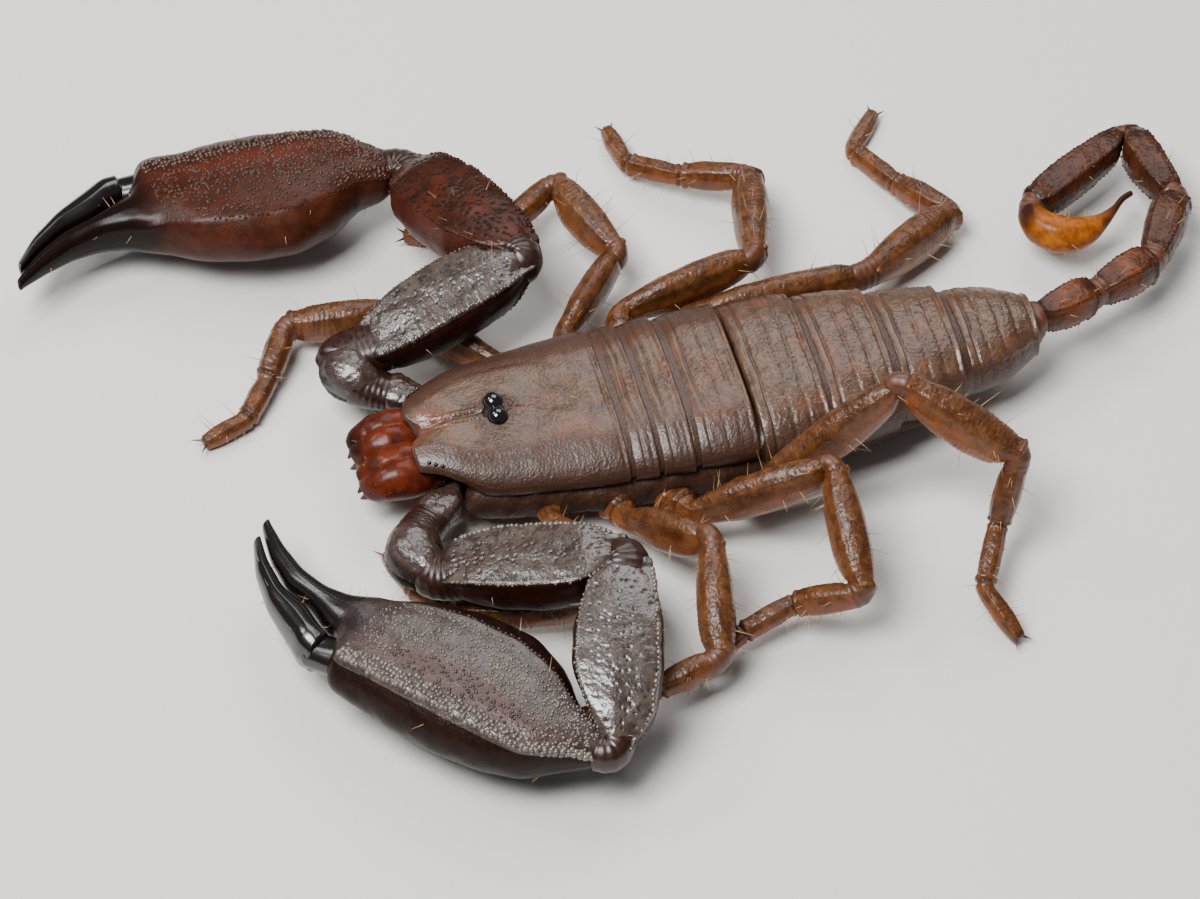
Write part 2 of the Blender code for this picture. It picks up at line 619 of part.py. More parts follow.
def centre_on_floor():
    """Moves the carrier so that the model stands centred over the origin."""
    bpy.context.view_layer.update()
    corners = [obj.matrix_world @ Vector(corner) for obj in COLLECTION.objects if obj.type == "MESH"
               for corner in obj.bound_box]
    low = [min(c[axis] for c in corners) for axis in range(3)]
    high = [max(c[axis] for c in corners) for axis in range(3)]
    CARRIER.location = (-(low[0] + high[0]) / 2, -(low[1] + high[1]) / 2, -low[2])


COLLECTION, CARRIER = start_scene()
build_shield()
build_eyes()
build_jaws()
build_plates()
build_underside()
build_tail()
for body_side in ("left", "right"):
    build_arm(body_side)
    for leg_number in range(4):
        build_leg(body_side, leg_number)
centre_on_floor()
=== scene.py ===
# %% [markdown]
# # A dwarf wood scorpion at life size
# The animal is about three centimetres long, so this lesson works in millimetres and turns every
# finished mesh into metres at the end. The solids that carry the model are loaded first. Each
# visible piece is then grown over its solid: we find the solid's middle line, feel how far its
# walls are all round, and lay a fine grid over those distances, with the ridges, granules,
# furrows and hairs of the real shell added as geometry.

# %% Load the frame
import itertools
import math

import bmesh
import bpy
import numpy as np
from mathutils import Matrix, Vector, kdtree
from mathutils.bvhtree import BVHTree


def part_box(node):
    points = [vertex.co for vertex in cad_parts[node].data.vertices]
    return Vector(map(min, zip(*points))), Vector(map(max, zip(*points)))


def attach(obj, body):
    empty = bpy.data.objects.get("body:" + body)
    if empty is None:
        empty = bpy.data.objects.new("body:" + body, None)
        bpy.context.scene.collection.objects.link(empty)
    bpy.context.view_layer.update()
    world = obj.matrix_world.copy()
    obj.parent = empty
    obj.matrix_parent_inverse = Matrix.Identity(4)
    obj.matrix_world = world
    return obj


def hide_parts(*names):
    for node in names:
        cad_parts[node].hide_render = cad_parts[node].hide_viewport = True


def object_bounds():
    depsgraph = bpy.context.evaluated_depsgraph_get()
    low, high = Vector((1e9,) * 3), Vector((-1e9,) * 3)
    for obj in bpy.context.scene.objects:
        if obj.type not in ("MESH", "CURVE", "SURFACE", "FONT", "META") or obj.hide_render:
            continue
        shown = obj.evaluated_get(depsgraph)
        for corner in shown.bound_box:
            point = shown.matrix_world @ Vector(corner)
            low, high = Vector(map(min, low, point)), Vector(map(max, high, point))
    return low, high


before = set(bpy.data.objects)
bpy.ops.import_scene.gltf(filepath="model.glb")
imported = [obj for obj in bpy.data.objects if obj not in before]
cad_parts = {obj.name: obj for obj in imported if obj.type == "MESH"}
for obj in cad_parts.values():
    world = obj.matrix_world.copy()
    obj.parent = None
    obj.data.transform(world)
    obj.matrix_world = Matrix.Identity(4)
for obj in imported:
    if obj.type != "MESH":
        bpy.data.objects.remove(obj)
CAD_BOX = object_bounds()
MM = 0.001
UP, BACKWARD = Vector((0, 0, 1)), Vector((0, 1, 0))
SIDES = {"left": 1, "right": -1}


def box_mm(node):
    """The lowest and the highest corner of a solid's box, in millimetres."""
    return [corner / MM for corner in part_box(node)]


def add_object(name, data):
    """A new object in the scene."""
    made = bpy.data.objects.new(name, data)
    bpy.context.scene.collection.objects.link(made)
    return made


print("solids:", len(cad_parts))

# %% [markdown]
# ## Camera, floor and light
# A long lens from above the left side shows the whole animal. The camera is placed from the head
# shield: its target is the middle of the shield's back edge. The light is a studio's: one broad
# soft box high behind the animal, which draws the silvery sheen on every upper face, a smaller
# one beside the camera, and a dim pale surround. The floor is plain.

# %% Where the body's own origin is
SHIELD_LOW, SHIELD_HIGH = box_mm("head_shield")
BODY = Vector(((SHIELD_LOW.x + SHIELD_HIGH.x) / 2, SHIELD_HIGH.y + 0.035, 0))
print("body origin in mm:", [round(value, 3) for value in BODY])

# %% Camera
AZIMUTH, ELEVATION, ROLL = (math.radians(angle) for angle in (71.7, 51.0, 3.8))
DISTANCE, LENS, SENSOR = 148.0, 170.64, 36.0
TARGET = BODY + Vector((-0.10, -0.13, 0))


def aim(azimuth, elevation, roll=0.0):
    """Axes of something that looks at the body from there: its right, its up and its back."""
    back = Vector((math.sin(azimuth) * math.cos(elevation), -math.cos(azimuth) * math.cos(elevation),
                   math.sin(elevation)))
    right = UP.cross(back).normalized()
    above = back.cross(right)
    return (right * math.cos(roll) + above * math.sin(roll),
            above * math.cos(roll) - right * math.sin(roll), back)


def place_at(obj, target, distance, axes):
    """Puts a camera or lamp that far back along its own axis."""
    turned_to = Matrix(axes).transposed().to_4x4()
    turned_to.translation = (target + axes[2] * distance) * MM
    obj.matrix_world = turned_to


camera = add_object("camera", bpy.data.cameras.new("camera"))
camera.data.lens, camera.data.sensor_width = LENS, SENSOR
camera.data.clip_start, camera.data.clip_end = 0.005, 5.0
place_at(camera, TARGET, DISTANCE, aim(AZIMUTH, ELEVATION, ROLL))
bpy.context.scene.camera = camera

# %% Soft boxes: azimuth, elevation, distance and size in mm, power in watts
SOFT_BOXES = {
    "sky_box": (245, 52, 170, 110, 0.16),
    "head_box": (-35, 48, 200, 50, 0.10),
    "camera_box": (22, 64, 200, 90, 0.72),
}
LIT_PLACE = BODY + Vector((0, 2, 1))
for name, (azimuth, elevation, distance, size, power) in SOFT_BOXES.items():
    lamp = bpy.data.lights.new(name, "AREA")
    lamp.size, lamp.energy = size * MM, power
    axes = aim(math.radians(azimuth), math.radians(elevation))
    place_at(add_object(name, lamp), LIT_PLACE, distance, axes)

world = bpy.data.worlds.new("surround")
world.use_nodes = True
surround = world.node_tree.nodes["Background"].inputs
surround["Color"].default_value = (0.92, 0.95, 1.0, 1)
surround["Strength"].default_value = 0.14
bpy.context.scene.world = world

# %% [markdown]
# ## Finishes
# A scorpion's cuticle is one material in many strengths: a dark brown pigment over an orange
# base, mottled at the scale of a millimetre, granular at a twentieth of one, and glossy where it
# is smooth. One node group gives its colour, roughness and height. Every piece also carries a
# painted mask: how dark, how red and how glossy it is at each point, which the group reads.

# %% Node helpers
def add_node(tree, kind, inputs=None, **settings):
    """One shader node; an input is a plain value or another node's output."""
    made = tree.nodes.new("ShaderNode" + kind)
    for key, value in settings.items():
        setattr(made, key, value)
    for key, value in (inputs or {}).items():
        if isinstance(value, bpy.types.NodeSocket):
            tree.links.new(value, made.inputs[key])
        else:
            made.inputs[key].default_value = value
    return made


def mix_colour(tree, factor, first, second):
    """The output of a colour mix."""
    return add_node(tree, "Mix", {0: factor, 6: first, 7: second}, data_type="RGBA").outputs[2]


def maths(tree, operation, first, second=0.0, clamp=False):
    """The output of a maths node."""
    return add_node(tree, "Math", {0: first, 1: second}, operation=operation, use_clamp=clamp).outputs[0]


def spread(tree, value, low, high, to_low=0.0, to_high=1.0):
    """A value spread smoothly from one range to another."""
    made = add_node(tree, "MapRange", {0: value, 1: low, 2: high, 3: to_low, 4: to_high},
                    interpolation_type="SMOOTHSTEP")
    return made.outputs[0]


# %% The cuticle node group
COLOURS = ("Dark", "Pale", "Deep", "Red")
AMOUNTS = ("Mottle size", "Grain size", "Grain", "Smooth", "Rough")
MASKS = ("Shade", "Redness", "Gloss")
SOCKETS = (
    ("INPUT", "NodeSocketVector", ("Place",)),
    ("INPUT", "NodeSocketColor", COLOURS),
    ("INPUT", "NodeSocketFloat", AMOUNTS + MASKS),
    ("OUTPUT", "NodeSocketColor", ("Color",)),
    ("OUTPUT", "NodeSocketFloat", ("Roughness", "Height")),
)


def cuticle_group():
    """Mottled pigment and rounded grains: Color, Roughness and Height from a place."""
    group = bpy.data.node_groups.new("cuticle", "ShaderNodeTree")
    for way, kind, names in SOCKETS:
        for name in names:
            group.interface.new_socket(name, in_out=way, socket_type=kind)

    def times(first, second):
        return maths(group, "MULTIPLY", first, second)

    given = group.nodes.new("NodeGroupInput").outputs
    place = given["Place"]
    grain_scale = maths(group, "DIVIDE", 1.0, given["Grain size"])
    mottle_scale = maths(group, "DIVIDE", 1.0, given["Mottle size"])
    mottle = add_node(group, "TexNoise", {"Vector": place, "Detail": 6.0, "Roughness": 0.65,
                                          "Scale": mottle_scale}).outputs["Fac"]
    fine = add_node(group, "TexNoise", {"Vector": place, "Detail": 3.0,
                                        "Scale": times(grain_scale, 1.7)}).outputs["Fac"]
    cells = add_node(group, "TexVoronoi", {"Vector": place, "Scale": grain_scale},
                     feature="SMOOTH_F1").outputs["Distance"]
    matt = maths(group, "SUBTRACT", 1.0, given["Gloss"], clamp=True)
    grain = times(given["Grain"], matt)
    knobs = times(spread(group, cells, 0.15, 0.62, 1.0, 0.0), grain)
    pits = times(spread(group, cells, 0.35, 0.75), grain)
    height = maths(group, "ADD", knobs, times(times(fine, 0.35), matt))
    base = mix_colour(group, spread(group, mottle, 0.34, 0.66), given["Dark"], given["Pale"])
    flecks = times(given["Redness"], spread(group, mottle, 0.3, 0.6, 0.55, 1.0))
    blushed = mix_colour(group, flecks, base, given["Red"])
    shaded = mix_colour(group, given["Shade"], blushed, given["Deep"])
    colour = mix_colour(group, times(pits, 0.6), shaded, given["Deep"])
    dull = maths(group, "ADD", times(spread(group, fine, 0.3, 0.7), 0.6), times(pits, 0.5), clamp=True)
    rough = add_node(group, "MapRange", {0: times(dull, matt), 3: given["Smooth"],
                                         4: given["Rough"]}).outputs[0]
    rough = maths(group, "ADD", rough, times(times(given["Shade"], matt), 0.12), clamp=True)
    result = group.nodes.new("NodeGroupOutput").inputs
    for name, value in (("Color", colour), ("Roughness", rough), ("Height", height)):
        group.links.new(value, result[name])
    return group


CUTICLE = cuticle_group()
print("node group:", CUTICLE.name, len(CUTICLE.nodes), "nodes")


# %% How a shell finish is made
def thousandths(values):
    """A colour socket's value from thousandths of full brightness."""
    return tuple(value / 1000 for value in values) + (1.0,)


FINISHES = {}


def new_finish(name, values):
    """A new material's node tree, its place socket and its shader's inputs, some of them set."""
    finish = FINISHES[name] = bpy.data.materials.new(name)
    finish.use_nodes = True
    tree = finish.node_tree
    shader = tree.nodes["Principled BSDF"].inputs
    for key, value in values.items():
        shader[key].default_value = value
    return tree, add_node(tree, "TexCoord").outputs["Object"], shader


def shell_finish(name, pigments, mottle, grain_size, grain, bump, smooth, rough, flesh, shine):
    """A cuticle material; sizes are in millimetres."""
    tree, place, shader = new_finish(name, {
        "Specular IOR Level": shine, "Subsurface Weight": flesh,
        "Subsurface Radius": (1.0, 0.35, 0.12), "Subsurface Scale": 0.35 * MM})
    skin = tree.nodes.new("ShaderNodeGroup")
    skin.node_tree = CUTICLE
    tree.links.new(place, skin.inputs["Place"])
    painted = add_node(tree, "Attribute", attribute_name="paint").outputs["Color"]
    for key, mask in zip(MASKS, add_node(tree, "SeparateColor", {"Color": painted}).outputs):
        tree.links.new(mask, skin.inputs[key])
    values = [thousandths(pigment) for pigment in pigments]
    values += [mottle * MM, grain_size * MM, grain, smooth, rough]
    for key, value in zip(COLOURS + AMOUNTS, values):
        skin.inputs[key].default_value = value
    relief = add_node(tree, "Bump", {"Height": skin.outputs["Height"], "Strength": bump,
                                     "Distance": grain_size * 0.35 * MM})
    tree.links.new(skin.outputs["Color"], shader["Base Color"])
    tree.links.new(skin.outputs["Roughness"], shader["Roughness"])
    tree.links.new(relief.outputs["Normal"], shader["Normal"])


# %% Shell finishes: the dark, pale, deep and red pigment in thousandths of full brightness, the
# size of the mottle and of a grain, then grain, bump, smooth, rough, flesh and shine
SHELL_FINISHES = {
    "back_shell": (((52, 25, 13), (108, 55, 30), (34, 13, 6), (150, 38, 17)),
                   0.40, 0.060, 0.6, 0.40, 0.26, 0.46, 0, 0.55),
    # The flank finish is darker than the flank's own colour: partly painted shade under the edge of the back.
    "flank_shell": (((24, 11, 6), (46, 21, 12), (10, 4, 3), (80, 22, 9)),
                    0.40, 0.060, 0.6, 0.40, 0.40, 0.60, 0, 0.2),
    # The pale pigment of the next two finishes, which cover the upper faces, is raised above the cuticle's
    # own: a painted silvery sheen.
    "arm_shell": (((30, 18, 13), (80, 60, 49), (5, 2, 2), (100, 18, 8)),
                  0.35, 0.060, 0.5, 0.35, 0.20, 0.40, 0, 0.9),
    "left_hand_shell": (((24, 13, 9), (60, 42, 34), (5, 2, 2), (100, 18, 8)),
                        0.35, 0.060, 0.5, 0.35, 0.20, 0.68, 0, 0.7),
    # The next two finishes colour granules paler than the cuticle: a painted glint on each granule.
    "painted_glint_granule": (((70, 52, 42), (150, 124, 104), (30, 20, 15), (120, 40, 20)),
                     0.50, 0.060, 0.2, 0.20, 0.20, 0.34, 0, 0.9),
    "painted_red_glint_granule": (((34, 12, 7), (70, 30, 20), (20, 8, 5), (120, 30, 14)),
                         0.50, 0.060, 0.2, 0.20, 0.28, 0.42, 0, 0.5),
    # The next finish is a darker copy of the arm finish for the sides and undersides of the arms and left
    # hand: painted shade.
    "arm_underside_painted_shade": (((8, 3, 2), (18, 6, 4), (4, 2, 1), (40, 8, 4)),
                      0.35, 0.060, 0.5, 0.35, 0.30, 0.45, 0, 0.12),
    "right_hand_shell": (((24, 7, 4), (48, 13, 6), (7, 3, 2), (85, 16, 7)),
                         0.40, 0.070, 0.4, 0.30, 0.22, 0.50, 0, 0.15),
    "right_hand_underside": (((30, 8, 4), (60, 16, 7), (9, 3, 2), (80, 16, 7)),
                             0.40, 0.060, 0.4, 0.30, 0.30, 0.48, 0, 0.15),
    "leg_shell": (((54, 18, 6), (135, 52, 17), (24, 7, 3), (240, 62, 10)),
                  0.30, 0.055, 0.6, 0.40, 0.22, 0.42, 0.1, 0.34),
    "foot_shell": (((58, 19, 6), (140, 50, 15), (24, 7, 3), (200, 48, 9)),
                   0.30, 0.050, 0.5, 0.40, 0.22, 0.40, 0.1, 0.34),
    "belly_shell": (((120, 42, 16), (230, 90, 34), (50, 15, 6), (240, 70, 18)),
                    0.8, 0.070, 0.2, 0.20, 0.32, 0.50, 0.2, 0.35),
    "jaw_shell": (((30, 5, 3), (85, 12, 5), (12, 3, 2), (190, 32, 8)),
                  0.35, 0.050, 0.2, 0.20, 0.24, 0.38, 0.05, 0.18),
    "tail_shell": (((22, 7, 4), (50, 16, 7), (9, 3, 2), (150, 36, 8)),
                   0.35, 0.060, 0.45, 0.40, 0.24, 0.40, 0, 0.22),
    "sting_shell": (((180, 45, 6), (400, 118, 12), (30, 9, 4), (250, 70, 20)),
                    0.35, 0.060, 0.3, 0.25, 0.24, 0.42, 0.15, 0.15),
    "comb_shell": (((300, 170, 80), (520, 340, 190), (120, 60, 30), (420, 250, 120)),
                   0.4, 0.040, 0.2, 0.20, 0.35, 0.55, 0.2, 0.5),
}
for name, values in SHELL_FINISHES.items():
    shell_finish(name, *values)
print("shell finishes:", len(SHELL_FINISHES))


# %% Eyes, joint skin, hairs and the floor need only small trees of their own
def plain_finish(name, shade, roughness, coat, flesh, uneven, size):
    """A nearly even finish, with a little noise in its colour and roughness."""
    tree, place, shader = new_finish(name, {"Coat Weight": coat, "Subsurface Weight": flesh,
                                            "Subsurface Scale": 0.3 * MM})
    cloud = add_node(tree, "TexNoise", {"Vector": place, "Scale": 1 / (size * MM),
                                        "Detail": 4.0}).outputs["Fac"]
    darker = thousandths([value * (1 - uneven * 2) for value in shade])
    tree.links.new(mix_colour(tree, cloud, darker, thousandths(shade)), shader["Base Color"])
    rough = spread(tree, cloud, 0.2, 0.8, roughness * (1 - uneven), roughness * (1 + uneven))
    tree.links.new(rough, shader["Roughness"])


# Colour in thousandths, roughness, coat, flesh, unevenness and the size of its clouds in mm
PLAIN_FINISHES = {
    "eye_lens": ((4, 4, 5), 0.05, 1.0, 0, 0.05, 0.3),
    "claw_horn": ((60, 18, 8), 0.22, 0.3, 0, 0.2, 0.3),
    "joint_skin": ((34, 10, 6), 0.34, 0, 0, 0.35, 0.15),
    "knee_skin": ((120, 36, 12), 0.45, 0, 0.2, 0.3, 0.2),
    "hair": ((520, 330, 160), 0.45, 0, 0, 0.2, 0.5),
    "floor_paper": ((700, 685, 650), 0.85, 0, 0, 0.02, 30),
}
for name, values in PLAIN_FINISHES.items():
    plain_finish(name, *values)
print("plain finishes:", len(PLAIN_FINISHES))

# %% The floor
FLOOR_SIZE = 1200.0
floor_mesh = bmesh.new()
bmesh.ops.create_grid(floor_mesh, x_segments=1, y_segments=1, size=FLOOR_SIZE * MM / 2)
floor_data = bpy.data.meshes.new("floor")
floor_mesh.to_mesh(floor_data)
floor_mesh.free()
floor_data.materials.append(FINISHES["floor_paper"])
floor = add_object("floor", floor_data)

# %% [markdown]
# ## Feeling the walls of a solid
# Each solid is a simple closed tube. We stand inside it near one end, look along it, and cast
# rays sideways. The mean of what they hit is the tube's middle there. A small step on, we do it
# again, and the steps bend round with the tube. The result is a course: middle points, the
# sideways and upward axes at each, and the distance to the wall all round. Those distances are
# then blurred a little, which turns the solid's flat facets into a round shell of the same size.

# %% Read the solids
TREES, POINTS = {}, {}
for node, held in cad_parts.items():
    shape = bmesh.new()
    shape.from_mesh(held.data)
    bmesh.ops.scale(shape, vec=(1 / MM, 1 / MM, 1 / MM), verts=shape.verts)
    bmesh.ops.remove_doubles(shape, verts=shape.verts, dist=0.001)
    TREES[node] = BVHTree.FromBMesh(shape)
    POINTS[node] = [vert.co.copy() for vert in shape.verts]
    shape.free()


def middle_of(points):
    """The mean of some points."""
    return sum(points, Vector()) / len(points)


def facing_end(node, other):
    """The middle of the end of one solid that faces another."""
    finder = kdtree.KDTree(len(POINTS[other]))
    for index, point in enumerate(POINTS[other]):
        finder.insert(point, index)
    finder.balance()
    apart = [finder.find(point)[2] for point in POINTS[node]]
    nearest = min(apart)
    return middle_of([p for p, gap in zip(POINTS[node], apart) if gap < nearest + 0.10])


def far_end(node, place):
    """The middle of the end of a solid that is farthest from a place."""
    tip = max(POINTS[node], key=lambda p: (p - place).length)
    return middle_of([p for p in POINTS[node] if (p - tip).length < 0.12])


def face_end(node, sign):
    """The middle of a solid's flat back end, or of its front end with a sign of -1."""
    edge = max(p.y * sign for p in POINTS[node])
    return middle_of([p for p in POINTS[node] if p.y * sign > edge - 0.02])


def straight(node, start):
    """The direction from one end of a straight solid to its other end."""
    return (far_end(node, start) - start).normalized()


# %% Trace a course
RAYS, CENTRE_RAYS = 96, 16
STEP = 0.10
WIDEST = 9.0
BRIDGE_ROWS = 13
COURSES = {}


def feel(tree, centre, forward, rays):
    """The direction of each ray round a point and the distance to the wall there."""
    side = forward.cross(UP).normalized()
    above = side.cross(forward).normalized()
    angles = (math.tau * k / rays for k in range(rays))
    ways = [side * math.cos(angle) + above * math.sin(angle) for angle in angles]
    return [(way, tree.ray_cast(centre, way)[3]) for way in ways]


def centred(tree, centre, forward):
    """The point moved to the middle of the walls round it."""
    hits = [way * reach for way, reach in feel(tree, centre, forward, CENTRE_RAYS) if reach is not None]
    return centre + middle_of(hits) if hits else centre


def trace(node, start, heading):
    """Middle points from one end of a solid to the other."""
    tree, points = TREES[node], POINTS[node]
    close = [p for p in points if (p - start).length < 1.2]
    ahead = heading or (middle_of(close if len(close) > 30 else points) - start).normalized()
    centre, line = start + ahead * 0.05, []
    for _ in range(400):
        centre = centred(tree, centre, ahead)
        line.append(centre)
        wall = tree.ray_cast(centre, ahead)[3]
        if wall is None or wall < STEP:
            break
        onward = centred(tree, centre + ahead * STEP, ahead)
        ahead = heading or (ahead + (onward - centre).normalized()).normalized()
        centre = onward
    return line


def smoothed(table, rounds, ring=False):
    """Each row mixed with the rows before and after it; ring also joins the last to the first."""
    for _ in range(rounds):
        wide = np.pad(table, ((1, 1), (0, 0)), "wrap" if ring else "edge")
        table = wide[:-2] * 0.25 + table * 0.5 + wide[2:] * 0.25
    return table


def flared(walls, flare):
    """Walls that keep most of their width up to the ends, over the flare's length."""
    rows = round(flare / STEP)
    if not rows or rows * 2 + 2 > len(walls):
        return walls
    wide = walls.copy()
    for k in range(rows):
        share = 1 - 0.14 * (1 - k / rows) ** 2
        wide[k] = np.maximum(walls[k], walls[rows] * share)
        wide[-1 - k] = np.maximum(walls[-1 - k], walls[-1 - rows] * share)
    return smoothed(wide, 1)


# %% A course, and where its shell lies
class Course:
    """The middle line of a piece from one end to the other, and its walls all round."""

    def __init__(self, line, aims, walls):
        self.line, self.aims, self.walls = line, aims, walls
        steps = np.linalg.norm(np.diff(line, axis=0), axis=1)
        self.marks = np.concatenate(([0.0], np.cumsum(steps)))
        self.full = float(self.marks[-1])

    def backwards(self):
        """The same course run the other way, so its turns are mirrored."""
        mirror = (RAYS // 2 - np.arange(RAYS)) % RAYS
        return Course(self.line[::-1], -self.aims[::-1], self.walls[::-1][:, mirror])

    def stations(self, u):
        """Middle, sideways axis and upward axis at shares of the full length, and the row there."""
        distance = np.clip(u, 0, 1) * self.full
        k = np.clip(np.searchsorted(self.marks, distance) - 1, 0, len(self.marks) - 2)
        t = (distance - self.marks[k]) / (self.marks[k + 1] - self.marks[k])
        share = t[:, None]
        middle = self.line[k] * (1 - share) + self.line[k + 1] * share
        forward = self.aims[k] * (1 - share) + self.aims[k + 1] * share
        forward /= np.linalg.norm(forward, axis=1)[:, None]
        side = np.cross(forward, (0, 0, 1))
        side /= np.linalg.norm(side, axis=1)[:, None]
        return middle, side, np.cross(side, forward), k, t

    def middle(self, share):
        """The middle point at a share of the full length."""
        return Vector(self.stations(np.array([share]))[0][0])

    def spots(self, u, v, size=1.0, lift=0.0):
        """Points on the shell at shares of the length and turns round it."""
        u, v = np.atleast_1d(np.asarray(u, float)), np.atleast_1d(np.asarray(v, float)) % 1.0
        middle, side, above, k, t = self.stations(u)
        place = v * RAYS
        f, j = place - np.floor(place), place.astype(int) % RAYS
        near, far = (self.walls[row, j] * (1 - f) + self.walls[row, (j + 1) % RAYS] * f for row in (k, k + 1))
        reach = (near * (1 - t) + far * t) * size + lift
        angle = v * math.tau
        out = side * np.cos(angle)[:, None] + above * np.sin(angle)[:, None]
        return middle + out * reach[:, None], out


# %% Three ways to find a course
def course_of(node, start, spare=(0.1, 0.1), soften=12, heading=None, backward=False, flare=0.0):
    """The course of a solid, with some length to spare at its two ends."""
    line = trace(node, start, -heading if heading and backward else heading)
    if backward:
        line.reverse()
    line = [Vector(point) for point in smoothed(np.array(line), 5)]
    last = len(line) - 1
    aims = [heading or (line[min(i + 1, last)] - line[max(i - 1, 0)]).normalized() for i in range(last + 1)]
    walls = []
    for point, way in zip(line, aims):
        reach = [distance for _, distance in feel(TREES[node], point, way, RAYS)]
        known = sorted(r for r in reach if r is not None)
        usual = known[len(known) // 2] if known else 0.1
        limit = WIDEST if heading else usual * 3.2
        walls.append([usual if r is None else min(r, limit) for r in reach])
    walls = flared(smoothed(smoothed(np.array(walls).T, soften, True).T, 3), flare)
    starts = line[0] + (line[0] - line[1]).normalized() * (spare[0] + 0.05)
    ends = line[-1] + (line[-1] - line[-2]).normalized() * (spare[1] + 0.05)
    return Course(np.array([starts] + line + [ends]), np.array([aims[0]] + aims + [aims[-1]]),
                  np.concatenate((walls[:1], walls, walls[-1:])))


def course_along(places, sizes):
    """A course through some places, with an oval section of half width and half height at each."""
    line = np.array([tuple(place) for place in places])
    aims = np.gradient(line, axis=0)
    aims /= np.linalg.norm(aims, axis=1)[:, None]
    angle = np.arange(RAYS) * math.tau / RAYS
    walls = [1 / np.hypot(np.cos(angle) / wide, np.sin(angle) / tall) for wide, tall in sizes]
    return Course(line, aims, np.array(walls))


def course_between(first, second, size, reach):
    """A course that bends out of the end of one course and into the start of the next."""
    reach = min(reach, len(first.line) // 3, len(second.line) // 3)
    hold = (first.line[-2 - reach], first.line[-2], second.line[1], second.line[1 + reach])
    share = np.linspace(0, 1, BRIDGE_ROWS)[:, None]
    rest = 1 - share
    weights = (rest ** 3, 3 * share * rest ** 2, 3 * share ** 2 * rest, share ** 3)
    made = course_along(sum(weight * point for weight, point in zip(weights, hold)), [(1, 1)] * BRIDGE_ROWS)
    made.walls = (first.walls[-2 - reach] * rest + second.walls[1 + reach] * share) * size
    return made


# %% [markdown]
# ## Noise for relief
# Two kinds of fixed noise shape the cuticle in true depth: soft clouds for wrinkles and uneven
# growth, and grains, each a small round knob, for the granulation.

# %% Clouds and grains
def cell_noise(cells, salt):
    """A fixed random number from 0 to 1 for each whole-number cell."""
    mixed = np.sin(cells @ np.array((12.9898, 78.233, 37.719)) + salt * 17.17) * 43758.5453
    return mixed - np.floor(mixed)


def clouds(points, size, salt=0):
    """Soft noise between -1 and 1 at each point, with features of that size."""
    scaled = points / size
    base = np.floor(scaled)
    part = scaled - base
    part = part * part * (3 - 2 * part)
    total = np.zeros(len(points))
    for corner in itertools.product((0, 1), repeat=3):
        weight = np.prod(np.where(corner, part, 1 - part), axis=1)
        total += weight * cell_noise(base + np.array(corner), salt)
    return total * 2 - 1


def grains(points, size, salt=0):
    """Round granules: one at the middle of each, falling to zero at its edge."""
    scaled = points / size
    base = np.floor(scaled)
    nearest = np.full(len(points), 9.0)
    for corner in itertools.product((-1, 0, 1), repeat=3):
        cell = base + np.array(corner)
        centre = cell + np.stack([cell_noise(cell, salt + axis) for axis in (1, 2, 3)], axis=1)
        nearest = np.minimum(nearest, ((scaled - centre) ** 2).sum(axis=1))
    return np.clip(1 - nearest / 0.34, 0, 1)


def bump_at(value, centre, width):
    """A smooth bump of height one."""
    return np.exp(-((value - centre) / width) ** 2)


def step_up(value, low, high):
    """Zero below the first value, one above the second, smooth between."""
    t = np.clip((value - low) / (high - low), 0, 1)
    return t * t * (3 - 2 * t)


def turned(v, place):
    """How far round the shell a turn is from a place, at most half a turn."""
    return np.abs((v - place + 0.5) % 1.0 - 0.5)


def swapped(v, right):
    """The turn itself, or on a right limb its mirror image."""
    return (0.5 - v) % 1.0 if right else v


def ridges(v, places, width):
    """Smooth ridges of height one along a shell, at some turns."""
    return sum(bump_at(turned(v, place), 0, width) for place in places)


# %% [markdown]
# ## Laying the shell
# A grid with a UV map is rolled round the course: one side of the grid runs along the piece, the
# other goes once round it. Both ends are drawn in to a round nose, so every shell is closed, and
# a relief function lifts each point. Granules, hairs and claws are copies of one small part
# each, set on the shell in rows or scattered over a face.

# %% Shell grid
def nose(distance, long):
    """How wide a closed end is, by the distance from its tip: zero, then one past the nose."""
    inside = np.clip(1 - distance / long, 0, 1)
    return np.sqrt(1 - inside ** 2)


def with_uv():
    """An empty bmesh with a UV map."""
    bm = bmesh.new()
    bm.loops.layers.uv.new("UVMap")
    return bm


# Rings along each shell and faces round it; where a shell's length varies, the length of a ring
GRIDS = {
    "shield": (220, 350), "jaw": (90, 72), "hand": (300, 210), "finger": (150, 72), "knuckle": (50, 60),
    "telson": (170, 80), "flank": (200, 48), "leg coxa": (40, 48), "coxae": (150, 120), "comb": (60, 48),
}
PLATE_RING, ARM_RING, LEG_RING, TAIL_RING = 0.028, 0.035, 0.04, 0.03


